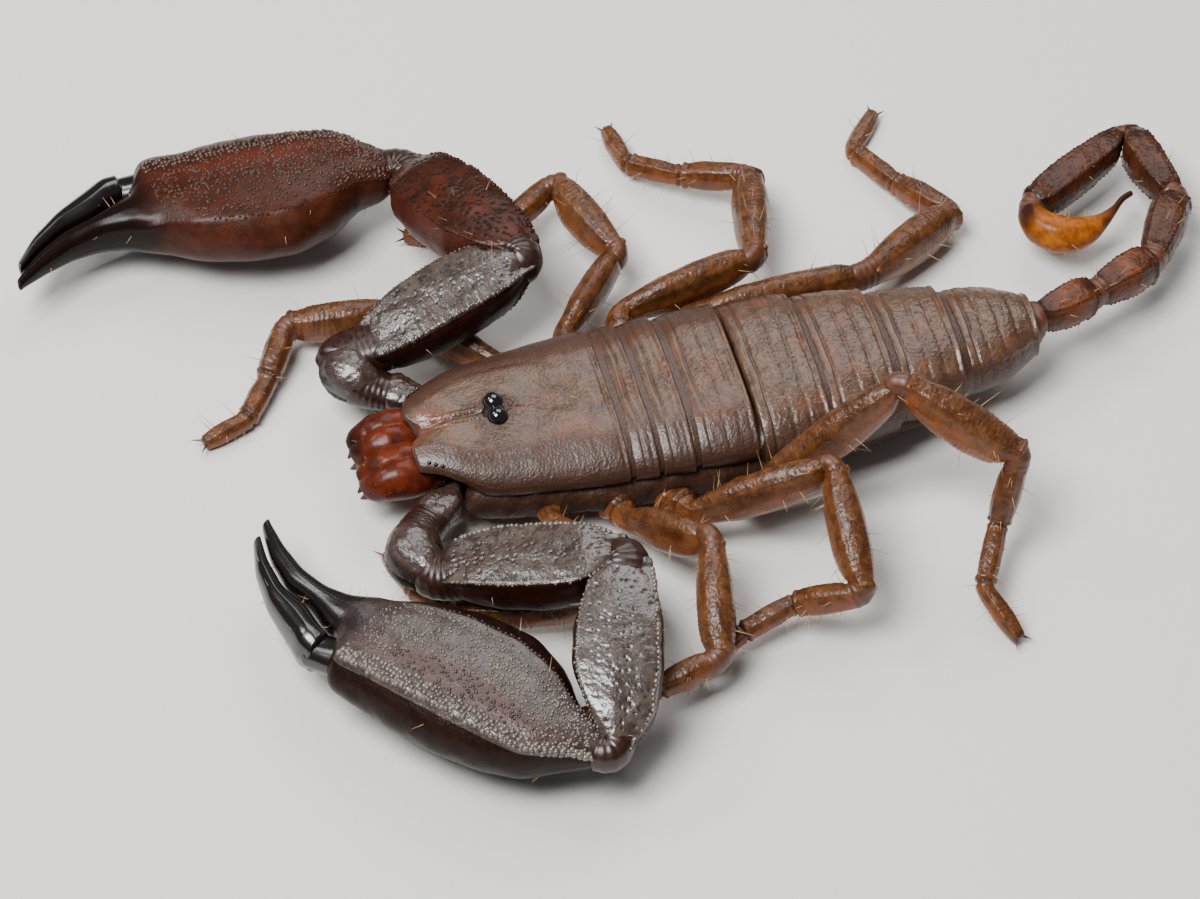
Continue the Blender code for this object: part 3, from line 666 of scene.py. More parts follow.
def roll_shell(course, rings, around, relief, paint, ends, reshape=None):
    """A closed shell over a course, as a bmesh with a UV map and a painted mask."""
    bm = with_uv()
    bmesh.ops.create_grid(bm, x_segments=rings, y_segments=around, size=0.5, calc_uvs=True)
    grid = bpy.data.meshes.new("grid")
    bm.to_mesh(grid)
    flat = np.empty(len(grid.vertices) * 3)
    grid.vertices.foreach_get("co", flat)
    u, v = (flat.reshape(-1, 3)[:, axis] + 0.5 for axis in (0, 1))
    size = nose(u * course.full, ends[0]) * nose((1 - u) * course.full, ends[1])
    points = course.spots(u, v)[0]
    lift = relief(u, v, points) * size
    marks = np.zeros((len(u), 4))
    if paint:
        for column, mask in enumerate(paint(u, v, points)):
            marks[:, column] = np.clip(mask, 0, 1)
    points = course.spots(u, v, size, lift)[0]
    if reshape:
        points = reshape(points)
    grid.vertices.foreach_set("co", points.ravel())
    grid.attributes.new("paint", "FLOAT_COLOR", "POINT").data.foreach_set("color", marks.ravel())
    bm.clear()
    bm.from_mesh(grid)
    bpy.data.meshes.remove(grid)
    bmesh.ops.remove_doubles(bm, verts=bm.verts, dist=0.0008)
    bmesh.ops.recalc_face_normals(bm, faces=bm.faces)
    return bm


# %% Small parts to copy: a granule, a finer knob, a bristle and a hook
def small_part(name, uv_name, make, bend=0.0):
    """A little mesh one unit high that stands on its base, ready to be copied."""
    bm = bmesh.new()
    bm.loops.layers.uv.new(uv_name)
    make(bm)
    for vert in bm.verts:
        vert.co.x += bend * max(vert.co.z, 0) ** 2
    mesh = bpy.data.meshes.new(name)
    bm.to_mesh(mesh)
    bm.free()
    mesh.shade_smooth()
    mesh.attributes.new("paint", "FLOAT_COLOR", "POINT")
    return mesh


def rounded(bm, subdivisions=1):
    """A round granule of radius one."""
    bmesh.ops.create_icosphere(bm, subdivisions=subdivisions, radius=1, calc_uvs=True)


def tapered(bm):
    """A slender spike of radius one and height one."""
    bmesh.ops.create_cone(bm, cap_ends=True, segments=6, radius1=1, radius2=0.12, depth=1, calc_uvs=True)
    bmesh.ops.translate(bm, verts=bm.verts, vec=(0, 0, 0.5))
    upright = [edge for edge in bm.edges if abs(edge.verts[0].co.z - edge.verts[1].co.z) > 0.5]
    bmesh.ops.subdivide_edges(bm, edges=upright, cuts=4)


GRAIN = small_part("grain", "UVMap", rounded)
KNOB = small_part("knob", "UVMap", lambda bm: rounded(bm, 2))
BRISTLE = small_part("bristle", "OFBake", tapered, 0.12)
HOOK = small_part("hook", "UVMap", tapered, 0.45)
PATCH = 0.003  # how much of the map one small part covers
SOME_WAY = Vector((0.31, 0.27, 0.91))


# %% Set small parts on a shell
def set_part(bm, part, place, outward, sizes, uv, mark=(0, 0, 0), lean=SOME_WAY):
    """One copy of a small part on the shell; sizes are across, along and out."""
    up = Vector(outward).normalized()
    across = Vector(lean).cross(up).normalized()
    turn = np.array((across.cross(up).normalized() * -1, across, up)).T
    count = len(part.vertices)
    base = np.empty(count * 3)
    part.vertices.foreach_get("co", base)
    copy = (base.reshape(-1, 3) * sizes) @ turn.T + np.array(place)
    part.vertices.foreach_set("co", copy.ravel())
    part.attributes["paint"].data.foreach_set("color", np.tile((*mark, 0.0)[:4], count))
    layer = part.uv_layers[0].data
    patch = np.empty(len(layer) * 2)
    layer.foreach_get("uv", patch)
    layer.foreach_set("uv", ((patch.reshape(-1, 2) - 0.5) * PATCH + np.array(uv)).ravel())
    bm.from_mesh(part)
    part.vertices.foreach_set("co", base)
    layer.foreach_set("uv", patch)


def stud(bm, course, u, v, radius, relief, part=GRAIN, tall=0.7, mark=(0, 0, 0), sink=0.25):
    """Granules at some shares and turns of a course."""
    u, v = np.atleast_1d(u), np.atleast_1d(v) % 1.0
    radius = np.broadcast_to(radius, u.shape)
    lift = relief(u, v, course.spots(u, v)[0])
    places, outs = course.spots(u, v, 1.0, lift - radius * sink)
    for place, out, size, share, turn in zip(places, outs, radius, u, v):
        set_part(bm, part, place, out, (size, size, size * tall), (share, turn), mark)


def keel_row(bm, course, start, end, turn, pitch, radius, seed, relief, right=False, mark=(0, 0, 0)):
    """A row of granules along a keel at one turn of the shell."""
    draw = np.random.default_rng(seed)
    count = max(2, round((end - start) * course.full / pitch))
    u = start + (end - start) * (np.arange(count) + draw.uniform(0.3, 0.7, count)) / count
    v = swapped(turn + draw.normal(0, 0.003, count), right)
    stud(bm, course, u, v, radius * draw.uniform(0.7, 1.2, count), relief, GRAIN, 0.9, mark)


# %% Turn a bmesh into a finished piece
def mark_finishes(mesh, more):
    """Adds finishes; a paint mask of one half takes the first of them, and of one the second."""
    for finish in more:
        mesh.materials.append(FINISHES[finish])
    marks = np.empty(len(mesh.vertices) * 4)
    mesh.attributes["paint"].data.foreach_get("color", marks)
    kinds = np.rint(marks.reshape(-1, 4)[:, 3] * 2)
    corners = np.empty(len(mesh.loops), np.int32)
    mesh.loops.foreach_get("vertex_index", corners)
    firsts = np.empty(len(mesh.polygons), np.int32)
    mesh.polygons.foreach_get("loop_start", firsts)
    mesh.polygons.foreach_set("material_index", kinds[corners[firsts]].astype(np.int32))


def piece(name, bm, finish, slot, *nodes, more=()):
    """Turns a bmesh in millimetres into a finished piece, pressed flat where it meets the ground."""
    for vert in bm.verts:
        vert.co.z = max(vert.co.z, 0.0)
    bmesh.ops.scale(bm, vec=(MM, MM, MM), verts=bm.verts)
    mesh = bpy.data.meshes.new(name)
    bm.to_mesh(mesh)
    bm.free()
    mesh.shade_smooth()
    mesh.materials.append(FINISHES[finish])
    if more:
        mark_finishes(mesh, more)
    made = add_object(name, mesh)
    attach(made, "root")
    if nodes:
        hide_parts(*nodes)


# %% [markdown]
# ## Bristles
# Pale stiff bristles stand out from the legs, arms and tail. They are collected while the limbs
# are laid, and become one piece per group. Their map puts every bristle at its root's place.

# %% Collect bristles
BRISTLES = {}
TOP = CAD_BOX[1].z / MM
BRISTLE_RADIUS = 0.013
MAP_COLUMNS = 16


def add_bristles(group, course, number, lengths, seed, span=(0.08, 0.92), turns=(0.0, 1.0)):
    """Bristles at random places of a course, none of them higher than the solids."""
    bm, hosts = BRISTLES.setdefault(group, (bmesh.new(), []))
    if not hosts:
        bm.loops.layers.uv.new("OFBake")
    hosts.append(course)
    draw = np.random.default_rng(seed)
    u, v = draw.uniform(*span, number), draw.uniform(*turns, number)
    places, outs = course.spots(u, v, 1.0, -0.03)
    ahead = course.spots(np.minimum(u + 0.02, 1.0), v)[0] - places
    for place, out, way, share, turn in zip(places, outs, ahead, u, v):
        long = draw.uniform(*lengths)
        lean = Vector(way).normalized() * draw.uniform(0.1, 0.7)
        uv = ((len(hosts) - 1 + turn) / MAP_COLUMNS, share)
        if 0.05 < place[2] + (out[2] + max(lean.z, 0)) * long < TOP:
            sizes = (BRISTLE_RADIUS, BRISTLE_RADIUS, long)
            set_part(bm, BRISTLE, place, Vector(out) + lean, sizes, uv, lean=way)


# %% [markdown]
# ## Trunk plates
# Each plate starts with a smooth narrow band that slides under the plate in front, then a fine
# groove, then the granular field with two or three shallow cross furrows, and ends in a thin
# raised lip. The relief is a sum of smooth bumps along the plate, kept to its upper face. Its
# grooves are painted darker, as shade. Below the edge of the back the flanks are darker, partly
# as painted shade under that edge, and coarser.

# %% Seven plates
PLATES = [f"trunk_plate_{number}" for number in range(1, 8)]
BAND = 0.34
EDGE_TURN = 0.062
BACK_EDGES = (EDGE_TURN, 0.5 - EDGE_TURN)


def upper_face(v):
    """One on the back, zero underneath."""
    return np.clip(np.sin(v * math.tau), 0, 1) ** 0.35


def back_paint(v, points, grooves):
    """Dark flanks and belly, the flanks partly painted shade under the edge of the back,
    painted shade in the grooves, faint red flecks, and glossy flecks.
    """
    height = np.sin(v * math.tau)
    low = 1 - step_up(np.minimum(turned(v, 0.0), turned(v, 0.5)) * np.sign(height),
                      EDGE_TURN * 0.5, EDGE_TURN * 1.35)
    shade = low * (0.85 - 0.75 * step_up(-height, 0.1, 0.5)) + grooves * upper_face(v)
    shade = shade + 0.35 * step_up(clouds(points, 0.22, 12), 0.25, 0.8) * (1 - low)
    red = 0.45 * step_up(clouds(points, 0.6, 5), 0.1, 0.7) + 0.35 * low
    return shade, red, 0.15 * (1 - low)


def plate_parts(course, furrows, seed):
    """Relief and paint of one plate."""
    def heights(u, points):
        along = u * course.full + 0.02 * clouds(points * (1, 0, 0), 0.7, seed)
        rest = course.full - along
        field = step_up(along, BAND - 0.02, BAND + 0.06) * step_up(rest, 0.10, 0.2)
        grooves = bump_at(along, BAND, 0.032)
        for place in furrows:
            grooves = grooves + 0.45 * bump_at(along, place * course.full, 0.06)
        return along, rest, field, grooves

    def relief(u, v, points):
        along, rest, field, grooves = heights(u, points)
        side = step_up(turned(v, 0.25), 0.15, 0.21)
        height = -0.075 * np.clip(1 - along / 0.15, 0, 1) - 0.06 * grooves
        height += 0.035 * bump_at(rest, 0.10, 0.06) - 0.03 * bump_at(rest, 0.21, 0.04)
        height += 0.014 * clouds(points, 0.5, seed) + 0.007 * clouds(points, 0.16, seed)
        height += field * 0.022 * grains(points, 0.10, seed) * (0.6 + 0.8 * side)
        return (height + 0.03 * ridges(v, BACK_EDGES, 0.012)) * upper_face(v)

    def paint(u, v, points):
        _, _, field, grooves = heights(u, points)
        # The grooves are painted darker, as shade.
        shade, red, gloss = back_paint(v, points, 0.5 * grooves)
        return shade, red, gloss + 0.35 * (1 - field)

    return relief, paint


FURROWS = ((), (0.62,), (0.48, 0.72), (0.45, 0.68), (0.45, 0.68), (0.45, 0.68), (0.3, 0.5, 0.7))
PLATE_AROUND = 340
for number, (name, furrows) in enumerate(zip(PLATES, FURROWS)):
    course = course_of(name, face_end(name, -1), spare=(0.12, 0.10), heading=BACKWARD)
    relief, paint = plate_parts(course, furrows, number)
    rings = max(26, round(course.full / PLATE_RING))
    shell = roll_shell(course, rings, PLATE_AROUND, relief, paint, (0.06, 0.07))
    piece(name + "_shell", shell, "back_shell", "back_shell", name)
    COURSES[name] = course
print("plates laid:", len(PLATES))

# %% [markdown]
# ## Head shield
# The shield is laid like a plate, from its back edge forward. Its front edge is cut by a notch
# between two lobes, so the last stretch is drawn forward to that edge. A groove runs from
# the notch to the eyes and forks behind them, a furrow follows each side, and the back corners
# swell. The two middle eyes sit on a low tubercle and are nearly whole glossy balls.

# %% Head shield
NOTCH_DEPTH, NOTCH_WIDTH = 0.42, 0.30
EYES = middle_of(POINTS["eye_left"] + POINTS["eye_right"])
SHIELD_FRONT = SHIELD_LOW.y
shield_course = course_of("head_shield", face_end("head_shield", 1), spare=(0.09, 0.0), heading=-BACKWARD)
SHIELD_HEAD = shield_course.line[-1][1]


def shield_places(points):
    """Distance from the middle line, distance behind the eyes and distance from the back edge."""
    return np.abs(points[:, 0] - BODY.x), points[:, 1] - EYES.y, SHIELD_HIGH.y - points[:, 1]


def shield_grooves(points):
    """How deep the furrows are at each point, from 0 to 1."""
    wide, behind, rest = shield_places(points)
    wavy = wide + 0.04 * clouds(points, 0.5, 3)
    middle = bump_at(wide, 0, 0.045) * step_up(-behind, 0.30, 0.55)
    slit = bump_at(wide, 0, 0.035) * bump_at(behind, 0.62, 0.16)
    fork = bump_at(wavy, 0.05 + 0.34 * (behind - 0.9), 0.11) * step_up(behind, 0.8, 1.1)
    fork *= 1 - step_up(behind, 2.1, 2.6)
    side_line = 1.30 + 0.20 * np.sin((behind + 1.2) * 1.1)
    side = bump_at(wavy, side_line, 0.10) * bump_at(behind, 0.5, 1.5)
    across = bump_at(behind, 2.05 + 0.1 * wide, 0.07) * bump_at(wide, 1.5, 0.55)
    return np.clip(0.6 * middle + 0.6 * slit + 0.28 * fork + 0.6 * side + 0.35 * across, 0, 1)


def shield_relief(u, v, points):
    """Furrows, swellings and granulation."""
    wide, behind, rest = shield_places(points)
    height = -0.055 * shield_grooves(points)
    height += 0.07 * bump_at(np.hypot(wide, behind), 0, 0.42)
    height += 0.03 * bump_at(wide, 0.12, 0.05) * step_up(-behind, 0.35, 0.6)
    height -= 0.05 * bump_at(wide, 0, 0.40) * bump_at(behind, 1.7, 0.5)
    height += 0.06 * bump_at(wide, 0.95, 0.40) * bump_at(behind, 1.55, 0.55)
    height += 0.09 * bump_at(wide, 0.72, 0.42) * bump_at(behind, -1.35, 0.55)
    height -= 0.05 * bump_at(wide, 1.25, 0.35) * bump_at(behind, -0.3, 0.5)
    height += 0.034 * clouds(points, 0.8, 1) + 0.020 * clouds(points, 0.33, 2)
    height += 0.006 * clouds(points, 0.12, 6)
    height += 0.03 * bump_at(rest, 0.05, 0.05) - 0.035 * bump_at(rest, 0.17, 0.04)
    smooth = bump_at(behind, -1.7, 0.7) * bump_at(wide, 0.7, 0.5)
    coarse = 0.5 + 0.9 * step_up(wide, 1.5, 2.3)
    height += 0.022 * grains(points, 0.085, 4) * coarse * (1 - 0.7 * smooth)
    return (height + 0.03 * ridges(v, BACK_EDGES, 0.010)) * upper_face(v)


def shield_paint(u, v, points):
    """Furrows painted dark as shade, flanks dark partly as painted shade under the edge,
    and red mottling over the front lobes.
    """
    wide, behind, rest = shield_places(points)
    shade, red, gloss = back_paint(v, points, 0.7 * shield_grooves(points))
    front = step_up(-behind, 0.9, 1.9)
    red = red + 0.75 * front * step_up(clouds(points, 0.45, 9), 0.0, 0.5)
    shade = shade + 1.4 * bump_at(np.hypot(wide, behind), 0, 0.42)
    return shade, red, gloss + 0.35 * front


def draw_to_front(points):
    """Draws the front of the shield out to its notched edge."""
    wide = np.abs(points[:, 0] - BODY.x)
    edge = SHIELD_FRONT + NOTCH_DEPTH * np.exp(-((wide / NOTCH_WIDTH) ** 2)) + 0.14 * (wide / 1.75) ** 4
    ahead = np.clip((points[:, 1] - SHIELD_HIGH.y) / (SHIELD_HEAD - SHIELD_HIGH.y), 0, 1) ** 4
    points[:, 1] += (edge - SHIELD_HEAD) * ahead
    return points


shell = roll_shell(shield_course, *GRIDS["shield"], shield_relief, shield_paint, (0.06, 0.13),
                   draw_to_front)
piece("head_shield_shell", shell, "back_shell", "back_shell", "head_shield")
COURSES["head_shield"] = shield_course.backwards()
print("shield front at", round(SHIELD_HEAD, 3), "lobes at", round(SHIELD_FRONT, 3))

# %% Eyes
for side in SIDES:
    low, high = box_mm(f"eye_{side}")
    radius = (high.x - low.x) / 2 * 1.3
    ball = with_uv()
    bmesh.ops.create_uvsphere(ball, u_segments=40, v_segments=24, radius=radius, calc_uvs=True)
    centre = ((low.x + high.x) * 0.46 + BODY.x * 0.08, (low.y + high.y) / 2, high.z - radius)
    bmesh.ops.translate(ball, verts=ball.verts, vec=centre)
    piece(f"eye_{side}_lens", ball, "eye_lens", "eye", f"eye_{side}")

mound = with_uv()
top = min(box_mm(f"eye_{side}")[1].z for side in SIDES)
set_part(mound, KNOB, (BODY.x, EYES.y, top - 0.34), UP, (0.40, 0.46, 0.20), (0.5, 0.5), (1, 0, 0.6))
piece("eye_mound", mound, "flank_shell", "back_shell")

# %% Three small side eyes at each front corner
CORNER_X, CORNER_Y, OVER_BACK = 1.12, 0.36, 3.4
corner_eyes = with_uv()
for sign in SIDES.values():
    for k in range(3):
        seek = Vector((BODY.x + sign * (CORNER_X + 0.09 * k), SHIELD_FRONT + CORNER_Y + 0.15 * k, OVER_BACK))
        hit, normal, _, _ = TREES["head_shield"].ray_cast(seek, -UP)
        if hit is not None:
            set_part(corner_eyes, KNOB, hit, normal, (0.06, 0.06, 0.07), (0.1 * k, 0.5))
piece("side_eyes", corner_eyes, "eye_lens", "eye")

# %% [markdown]
# ## Jaws
# Each jaw is a stout glossy hand with two short toothed fingers that close like scissors.

# %% Jaws
FINGER_SHARE = 0.86
JAW_HOOK, JAW_TOOTH = (0.30, 0.25, 0.55), (0.05, 0.05, 0.07)


def jaw_relief(u, v, points):
    """Swells the hand of the jaw sideways and wrinkles it a little."""
    swell = 0.22 * step_up(u, 0.05, 0.4) * np.abs(np.cos(v * math.tau))
    return swell + 0.05 + 0.03 * clouds(points, 0.5, 2) + 0.012 * clouds(points, 0.15, 3)


def jaw_paint(u, v, points):
    """Red hand with darker flecks and dark roots of the fingers."""
    flecks = step_up(clouds(points, 0.3, 4), 0.0, 0.7)
    return 0.6 * step_up(u, 0.6, 0.95) + 0.5 * flecks, 0.35 * step_up(u, 0, 0.4), 0.4


for side, sign in SIDES.items():
    node = f"jaw_{side}"
    course = course_of(node, face_end(node, 1), spare=(0.15, -0.25))
    shell = roll_shell(course, *GRIDS["jaw"], jaw_relief, jaw_paint, (0.1, 0.4))
    tip = course.middle(FINGER_SHARE)
    for lean, drop in ((sign, 0.02), (-sign, 0.12)):
        root = tip + Vector((lean * 0.22, 0.20, -drop))
        way = Vector((lean * 0.15, -1, -0.9))
        set_part(shell, HOOK, root, way, JAW_HOOK, (0.9, 0.5), (0.55, 0, 1), Vector((-lean, 0, -0.2)))
        for k in range(3):
            tooth = root + way.normalized() * (0.22 + 0.12 * k) - Vector((lean * 0.10, 0, 0.02))
            set_part(shell, KNOB, tooth, (-lean, 0, 0), JAW_TOOTH, (0.9, 0.5), (0.9, 0, 1))
    piece(f"{node}_shell", shell, "jaw_shell", "jaw", node)
    add_bristles("front", course, 16, (0.15, 0.35), 40 + sign, (0.45, 0.95), (0.0, 0.5))

# %% [markdown]
# ## Pincer arms
# Femur and patella are boxy tubes with a keel of beads along each edge, the trochanter a plain
# rounder tube. The hand is the broad one: its upper face is covered in round granules between an
# inner and an outer keel, and it narrows into the fixed finger. Fingers are smooth, black and toothed.

# %% Relief and paint of the arms
ARM_KEELS = (0.095, 0.395, 0.625, 0.875)
HAND_KEEL, INNER_KEEL = 0.405, 0.10
PIT_SIZE = 0.17


def arm_parts(right, salt, boxy):
    """An arm piece: four keels, pitted top face, dark glossy sides; the faces below the top
    take the under finish, on most arm pieces a darker copy that is painted shade.
    """
    def relief(u, v, points):
        side = swapped(v, right)
        height = 0.014 * clouds(points, 0.3, salt) + 0.005 * grains(points, 0.10, salt)
        if not boxy:
            return height + 0.04 * clouds(points, 0.5, salt) + 0.02 * grains(points, 0.13, salt)
        pits = step_up(grains(points, PIT_SIZE, salt + 9), 0.60, 0.95)
        height -= 0.022 * pits * (turned(v, 0.25) < 0.14)
        height += 0.10 * ridges(side, (0.09,), 0.035) + 0.12 * ridges(side, (0.40,), 0.05)
        return height + 0.045 * ridges(side, ARM_KEELS, 0.014)

    def paint(u, v, points):
        top = 1 - step_up(turned(v, 0.25), 0.150, 0.170)
        if not boxy:
            # Coxa and trochanter: the extra darkness off the top face and the darker copy on the lower half
            # are painted shade.
            return 0.4 + 0.4 * (1 - top), 0.25, 0.1, v > 0.5
        ends = np.maximum(step_up(u, 0.90, 0.97), 1 - step_up(u, 0.04, 0.10))
        pits = step_up(grains(points, PIT_SIZE, salt + 9), 0.5, 0.8)
        flush = 0.5 if right and salt == 3 else 0.12
        red = 0.5 * (1 - top) + flush * step_up(clouds(points, 0.6, salt), 0, 0.6)
        # Off the top face the piece takes its under finish; the darker arm copy there is painted shade.
        return ends * 0.6 + 0.8 * pits * top, red, 0.3 * top, top < 0.5

    return relief, paint


def hand_patch(u, side):
    """The red patch low on the hand's upper face, where the granules take no painted glint."""
    return bump_at(u, 0.33, 0.19) * bump_at(side, 0.340, 0.050)


def hand_parts(right, salt):
    """A hand: granular top, outer keel, smooth black fingers."""
    def relief(u, v, points):
        side = swapped(v, right)
        palm = 1 - step_up(u, 0.56, 0.72)
        height = 0.012 * clouds(points, 0.3, salt) + 0.08 * ridges(side, (HAND_KEEL,), 0.016)
        height = (height + 0.04 * ridges(side, (INNER_KEEL,), 0.014)) * palm
        height += 0.22 * bump_at(u, 0.585, 0.06) * bump_at(side, 0.475, 0.075)
        return height + 0.02 * ridges(side, (0.25,), 0.02) * (1 - palm)

    def paint(u, v, points):
        side = swapped(v, right)
        palm = 1 - step_up(u + 0.03 * clouds(points, 0.6, salt), 0.55, 0.68)
        top = step_up(side, 0.08, 0.12) * (1 - step_up(side, HAND_KEEL + 0.012, HAND_KEEL + 0.035))
        patch = np.clip(1.5 * hand_patch(u, side), 0, 1)
        off_crest = 1 - bump_at(turned(side, HAND_KEEL - 0.01), 0, 0.025)
        if right:
            dark, red = 1 - palm, 0.2 + 0.8 * patch
        else:
            # On the left hand the red patch is darkened, partly its own deep red and partly painted shade
            # where it catches no sheen.
            dark, red = 1 - palm + 0.55 * 0.9 * patch * off_crest, 0.9 * patch * top
        # Below the keel the palm takes the under finish: on the left hand a darker copy that is painted
        # shade.
        return dark, red * off_crest, 0.8 * (1 - palm), (top < 0.5) & (palm > 0.5)

    return relief, paint


def finger_paint(u, v, points):
    """Smooth and black all over."""
    return 1.0, 0.0, 1.0


# %% Arms
ARM_CHAIN = ("coxa", "trochanter", "femur", "patella")
ARM_BEAD, HAND_BEAD = 0.125, 0.12
# Each look: the top finish, the pale granule finish that is a painted glint, and the under finish; on the
# arms and left hand the under finish is a darker copy, painted shade.
ARM_LOOKS = ("arm_shell", "painted_glint_granule", "arm_underside_painted_shade")
HAND_LOOKS = {"left": ("left_hand_shell", "painted_glint_granule", "arm_underside_painted_shade"),
              "right": ("right_hand_shell", "painted_red_glint_granule", "right_hand_underside")}
HAND_WAY = {"left": Vector((-0.814, -0.580, -0.026)), "right": Vector((0.114, -0.992, -0.044))}
HAND_GRAINS = 950


def lay_arm_part(side, order):
    """Coxa, trochanter, femur or patella of one arm."""
    stem, right, part = f"arm_{side}_", side == "right", ARM_CHAIN[order]
    node, boxy = stem + part, part in ("femur", "patella")
    if order:
        start = facing_end(node, stem + ARM_CHAIN[order - 1])
    else:
        start = far_end(node, facing_end(node, stem + ARM_CHAIN[1]))
    course = course_of(node, start, spare=(0.16, 0.05), soften=6, flare=0.35 if boxy else 0.15,
                    heading=straight(node, start) if boxy else None)
    relief, paint = arm_parts(right, order, boxy)
    rings, around = round(course.full / ARM_RING), 160 if boxy else 90
    shell = roll_shell(course, rings, around, relief, paint, (0.25, 0.2))
    if boxy:
        for index, keel in enumerate(ARM_KEELS):
            bold = 0.085 if index == 1 else 0.050
            # The two upper keels of the left arm, which face the light, take the painted glint finish.
            glinting = 0.5 if side == "left" and index < 2 else 0
            keel_row(shell, course, 0.08, 0.90, keel, ARM_BEAD, bold, 11 + index, relief, right,
                     (0, 0, 0.4, glinting))
        add_bristles(f"arm_{side}", course, 14, (0.2, 0.5), 60 + order)
    top, *more = HAND_LOOKS["right"] if node == "arm_right_patella" else ARM_LOOKS
    piece(node + "_shell", shell, top, "arm_shell", node, more=more)
    COURSES[node] = course


def lay_hand(side):
    """The hand, whose upper face is strewn with granules, and its fixed finger."""
    node, right = f"arm_{side}_hand", side == "right"
    wrist = facing_end(node, f"arm_{side}_patella")
    course = course_of(node, far_end(node, wrist), spare=(0.12, 0.0), soften=6, heading=HAND_WAY[side],
                    backward=True, flare=0.2)
    relief, paint = hand_parts(right, 7)
    shell = roll_shell(course, *GRIDS["hand"], relief, paint, (0.3, 0.08))
    draw = np.random.default_rng(5)
    u, v = draw.uniform(0.05, 0.60, HAND_GRAINS), draw.uniform(0.11, HAND_KEEL, HAND_GRAINS)
    size = draw.uniform(0.036, 0.058, HAND_GRAINS) * (1 - 0.4 * step_up(u, 0.5, 0.62))
    # Granules outside the red patch, and all granules of the right hand, take the painted glint finish.
    glinting = (hand_patch(u, v) < 0.4) | right
    for chosen, kind in ((glinting, 0.5), (~glinting, 0.0)):
        stud(shell, course, u[chosen], swapped(v[chosen], right), size[chosen], relief, tall=0.9,
             mark=(0, 0, 0.5, kind), sink=0.1)
    for row in range(4):
        keel_row(shell, course, 0.03, 0.60, HAND_KEEL - 0.022 + 0.010 * row, HAND_BEAD, 0.085, 3 + row,
                 relief, right, (0, 0, 0.5, 0.5))
    keel_row(shell, course, 0.05, 0.5, INNER_KEEL, HAND_BEAD, 0.045, 9, relief, right)
    top, *more = HAND_LOOKS[side]
    piece(node + "_shell", shell, top, "arm_shell", node, more=more)
    COURSES[node] = course
    add_bristles(f"arm_{side}", course, 30, (0.2, 0.45), 70)
    return wrist


def lay_finger(side, wrist):
    """The movable finger, and the knuckle that carries it over to the palm."""
    stem = f"arm_{side}_"
    node = stem + "finger"
    course = course_of(node, far_end(node, far_end(node, wrist)), spare=(0.1, 0.05), soften=8,
                    heading=HAND_WAY[side])
    shell = roll_shell(course, *GRIDS["finger"],
                       lambda u, v, p: 0.11 * (1 - u) + 0.02 * ridges(v, (0.25,), 0.02),
                       finger_paint, (0.15, 0.08))
    piece(node + "_shell", shell, "arm_shell", "arm_shell", node)
    add_bristles(f"arm_{side}", course, 12, (0.15, 0.35), 80)
    palm = Vector(COURSES[stem + "hand"].spots(0.47, 0.06 if side == "right" else 0.44, 0.45)[0][0])
    root, shaft = course.middle(0.06), course.middle(0.36)
    places = [shaft, shaft.lerp(root, 0.5), root, root.lerp(palm, 0.5), palm]
    knuckle = course_along(places, [(0.22, 0.22), (0.34, 0.32), (0.48, 0.42), (0.58, 0.50), (0.50, 0.40)])
    shell = roll_shell(knuckle, *GRIDS["knuckle"], lambda u, v, p: 0.02 * clouds(p, 0.4, 4),
                       finger_paint, (0.3, 0.4))
    piece(stem + "knuckle", shell, "arm_shell", "arm_shell")


for side in SIDES:
    for order in range(len(ARM_CHAIN)):
        lay_arm_part(side, order)
    lay_finger(side, lay_hand(side))
    print(side, "arm laid")

# %% [markdown]
# ## Legs
# A leg is seven pieces on the real animal. Trochanter and femur share a solid, and so do tibia,
# basitarsus and tarsus, so their shells pinch in at the inner joints. Two claws close the foot.

# %% Relief and paint of the legs
FOOT_JOINTS = (0.37, 0.68)
LEG_KEELS = (0.16, 0.34, 0.72, 0.80)
HIP = 0.8


def leg_parts(course, right, salt, joints=()):
    """A leg piece: granular ridge above, smooth orange flanks, pinched in at its joints."""
    def relief(u, v, points):
        side = swapped(v, right)
        ridge = 1 - step_up(turned(side, 0.25), 0.05, 0.11)
        height = 0.012 * clouds(points, 0.3, salt) + 0.022 * ridge * grains(points, 0.085, salt)
        height += 0.022 * ridges(side, LEG_KEELS, 0.02)
        for joint in joints:
            away = (u - joint) * course.full
            height += 0.045 * bump_at(away, -0.10, 0.06) - 0.05 * bump_at(away, 0.0, 0.035)
            height += 0.02 * bump_at(away, 0.08, 0.05)
        if joints:
            return height - 0.05 * step_up(u, 0.86, 1.0)
        wavy = np.sin(u * course.full * 45 + 3 * clouds(points, 0.3, salt))
        height += 0.03 * bump_at((1 - u) * course.full, 0.16, 0.05)
        return height + 0.007 * wavy * step_up(u, 0.3, 0.7)

    def paint(u, v, points):
        away = turned(swapped(v, right), 0.25)
        ridge = 1 - step_up(away, 0.04, 0.13)
        shade = 0.30 * step_up(clouds(points, 0.35, salt), 0.0, 0.8) + 0.12 * ridge
        for joint in joints:
            shade = shade + 0.8 * bump_at((u - joint) * course.full, 0.0, 0.04)
        return shade + 0.5 * step_up(u, 0.96, 1.0), 0.05 + 0.85 * step_up(away, 0.10, 0.3), 0.4 * (1 - ridge)

    return relief, paint


# %% Legs
LEG_CHAIN = ("femur", "patella", "foot")
LEG_SOLIDS = [(side, number) for side in SIDES for number in range(1, 5)]
claws = with_uv()


